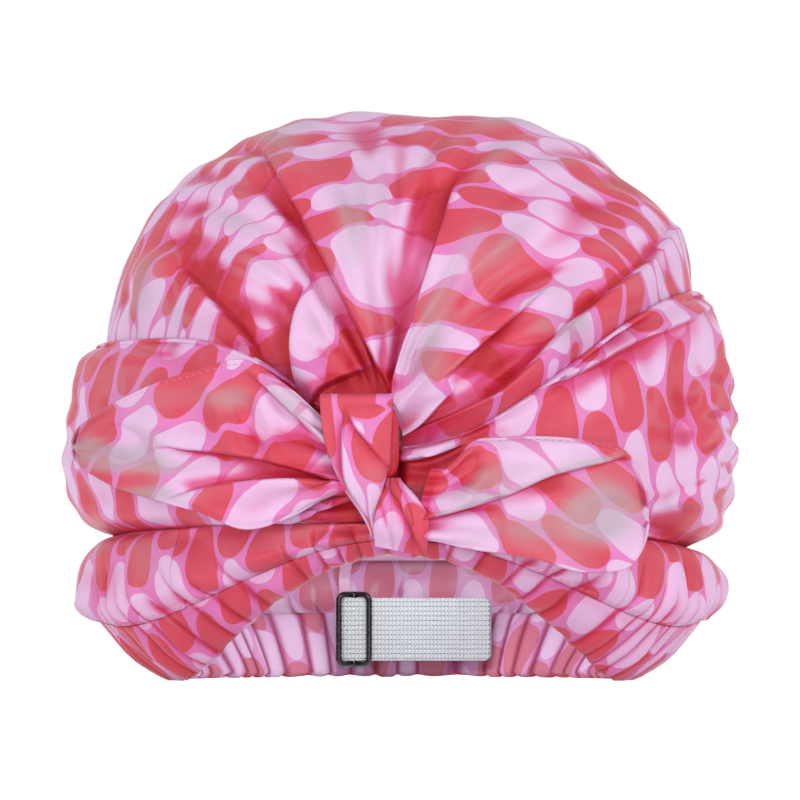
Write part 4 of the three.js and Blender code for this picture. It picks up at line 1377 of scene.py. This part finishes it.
def makeSlide():
    halfWidth, corner, wire = (slide["width"] - slide["wire"]) / 2, slide["corner"], slide["wire"]
    halfHeight = strap["width"] / 2 + slide["gap"] + wire / 2
    front = strap["y"] - (elastic["thickness"] + wire) / 2 - slide["gap"]
    back = strap["y"] + (elastic["thickness"] + wire) / 2 + slide["gap"]
    loop = []
    for cx, cz, start in ((1, -1, -90), (1, 1, 0), (-1, 1, 90), (-1, -1, 180)):
        for turn in np.linspace(start, start + 90, 14) * degree:
            x = cx * (halfWidth - corner) + corner * math.cos(turn)
            loop.append((x, cz * (halfHeight - corner) + corner * math.sin(turn)))
    loop.append(loop[0])
    loop = np.array(loop)
    length = lengthsOf(loop)
    at = np.linspace(0, length[-1], 241)
    x, z = np.interp(at, length, loop[:, 0]), np.interp(at, length, loop[:, 1])
    dip = np.cos(math.pi / 2 * np.minimum(1, np.abs(x / halfWidth))) ** 2
    path = np.stack([slide["x"] + x, between(front, back, dip), strap["middle"] + z], -1)
    path[-1] = path[0]
    lumps = 1 + 0.035 * np.sin(at * 1.9) * np.sin(at * 0.73 + 1)
    lumps[-1] = lumps[0]
    frameTube = tubePlaces(path, (wire / 2 * lumps)[None, :, None])
    up = strap["middle"] + np.linspace(-halfHeight, halfHeight, 40)
    bar = np.stack([np.full_like(up, slide["x"]), np.full_like(up, back), up], -1)
    piece = solidFrom("wire_slide", [frameTube, tubePlaces(bar, wire / 2)], coatedWire, "slide")
    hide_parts("slider_buckle")


makeStrap()
makeSlide()
print("stage: strap and slide")


def makeStitches(name, line, thread, pitch, size):
    # Short threads along a line of places, each along the line's own way. pitch and size are millimetres.
    length = lengthsOf(line)
    at = np.arange(pitch / 2, length[-1], pitch)
    middle = np.stack([np.interp(at, length, line[:, axis]) for axis in range(3)], -1)
    ahead = np.stack([np.interp(at + 0.2, length, line[:, axis]) for axis in range(3)], -1)
    bm = bmesh.new()
    for place, following in zip(middle, ahead):
        turn = Vector(following - place).to_track_quat("X", "Z").to_matrix().to_4x4()
        stretch = Matrix.Diagonal((size[0] * mm / 2, size[1] * mm / 2, size[1] * mm / 2, 1))
        matrix = Matrix.Translation(place * mm) @ turn @ stretch
        bmesh.ops.create_icosphere(bm, subdivisions=1, radius=1, matrix=matrix)
    for face in bm.faces:
        face.smooth = True
    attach(objectFrom(name, bm, [thread]), "cap")


stitched = {
    "seams": {"thread": pinkThread, "pitch": 2.9, "size": (1.9, 0.4)},
    "strap": {"thread": whiteThread, "pitch": 1.9, "size": (1.3, 0.5)},
    "hemShare": 0.05,
    "petalShares": {"left": 0.97, "right": 0.975},
    "strapRows": {"outer": 0, "inner": 1.6},
}


def makeAllStitches():
    azimuth = np.linspace(seamLeft, seamRight, 1200)
    line = hemPanelPlaces(azimuth, np.full_like(azimuth, stitched["hemShare"]))[0]
    out = np.stack([np.sin(azimuth), -np.cos(azimuth), np.zeros_like(azimuth)], -1)
    makeStitches("hem_stitches", line + out * cloth["shown"] / 2, **stitched["seams"])
    for side, share in stitched["petalShares"].items():
        # the line's neighbours give the petal its folds there
        u, v = np.meshgrid(np.linspace(0.3, 0.93, 300), share + np.array([-0.01, 0, 0.01]))
        line = petalPlaces(petals[side], u, v)[0][1]
        line = line + np.array([0, -petals["thickness"] / 2, 0])
        makeStitches("petal_stitches_" + side, line, **stitched["seams"])
    for row, across in stitched["strapRows"].items():
        up = np.linspace(-0.44, 0.44, 60) * strap["width"] + strap["middle"]
        x = np.full_like(up, strap["right"] - strap["tail"] * 0.8 + across)
        front = np.full_like(up, strap["y"] - elastic["thickness"] / 2)
        makeStitches("strap_stitches_" + row, np.stack([x, front, up], -1), **stitched["strap"])


makeAllStitches()


def makeTape():
    # Binding over the back seam, on the inside of the lower roll.
    u, v = np.meshgrid(np.linspace(-0.5, 0.5, 9), np.linspace(0, 5 / 6, 60))
    line, fold = hemPanelPlaces(np.full_like(v, backSeam), v)
    up = np.gradient(line, axis=0)
    across = np.array([math.cos(backSeam), math.sin(backSeam), 0])
    inward = np.cross(up, across)
    inward /= np.linalg.norm(inward, axis=-1, keepdims=True)
    depth = (cloth["thickness"] + 1) / 2 + cloth["gap"] + 0.5
    places = line + inward * depth + across * u[..., None] * 5
    piece = clothPiece("seam_tape", places, arcPrints(places), materials=[liningFilm], shown=0.7)
    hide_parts("seam_binding")


def makeElastic():
    step = (seamRight - seamLeft) / 64
    azimuth, v = np.meshgrid(np.linspace(seamLeft + step, seamRight - step, 300), np.linspace(0, 1, 10))
    footR, footZ, topR, topZ, upR, upZ = casingFrame(azimuth)
    along = elastic["margin"] + elastic["width"] * v
    places = onRing(azimuth, footR + upR * along, footZ + upZ * along)
    piece = clothPiece("elastic_band", places, arcPrints(places), [knitted], elastic["thickness"])
    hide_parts("hem_elastic")


makeTape()
makeElastic()
print("stage: tape and elastic")


# Stage: a pale floor and soft light.
def makeStage():
    sheet = materialSheet("paleFloor")
    lit = sheet.add("ShaderNodeBsdfDiffuse", None, ink(238, 237, 238))
    black = sheet.add("ShaderNodeEmission", None, (0, 0, 0, 1), 0.0)
    glow = sheet.add("ShaderNodeEmission", None, (1, 1, 1, 1), 0.8)
    seen = sheet.add("ShaderNodeMixShader", None, sheet.seenRays(), black, glow)
    sheet.node("ShaderNodeOutputMaterial", None, sheet.add("ShaderNodeAddShader", None, lit, seen))
    bm = bmesh.new()
    bmesh.ops.create_grid(bm, x_segments=8, y_segments=8, size=4)
    floor = objectFrom("floor", bm, [sheet.owner])


def makeLight(name, place, aim, size, power):
    data = bpy.data.lights.new(name, "AREA")
    data.shape = "RECTANGLE"
    data.size, data.size_y = size
    data.energy = power
    light = bpy.data.objects.new(name, data)
    bpy.context.scene.collection.objects.link(light)
    light.location = place
    light.rotation_euler = (Vector(aim) - Vector(place)).to_track_quat("-Z", "Y").to_euler()


def makeWorld():
    world = bpy.data.worlds.new("studio")
    bpy.context.scene.world = world
    sheet = Sheet(world)
    dim = sheet.add("ShaderNodeBackground", None, (0.97, 0.97, 1, 1), 0.6)
    white = sheet.add("ShaderNodeBackground", None, (1, 1, 1, 1), 1.0)
    mixed = sheet.add("ShaderNodeMixShader", None, sheet.seenRays(), dim, white)
    sheet.node("ShaderNodeOutputWorld", None, mixed)


makeStage()
makeWorld()
makeLight("keyLight", (1.1, -1.3, 0.8), (0, 0, 0.1), (0.45, 0.45), 6.5)
makeLight("frontLight", (-0.1, -1.8, 0.03), (0, 0, 0.02), (1.0, 0.3), 11)
makeLight("lowLeftLight", (-1.3, -1.0, 0.04), (0, 0, 0.02), (0.6, 0.2), 6.6)
makeLight("lowRightLight", (1.3, -1.0, 0.04), (0, 0, 0.02), (0.6, 0.2), 4.2)
makeLight("fillLight", (-1.4, -0.9, 0.6), (0, 0, 0.1), (0.6, 0.9), 1.6)
makeLight("napeLight", (0.0, 0.0, 0.07), (0, 0.09, 0.025), (0.1, 0.04), 0.11)
bpy.context.scene.view_settings.view_transform = "Standard"

print("stage: finished")
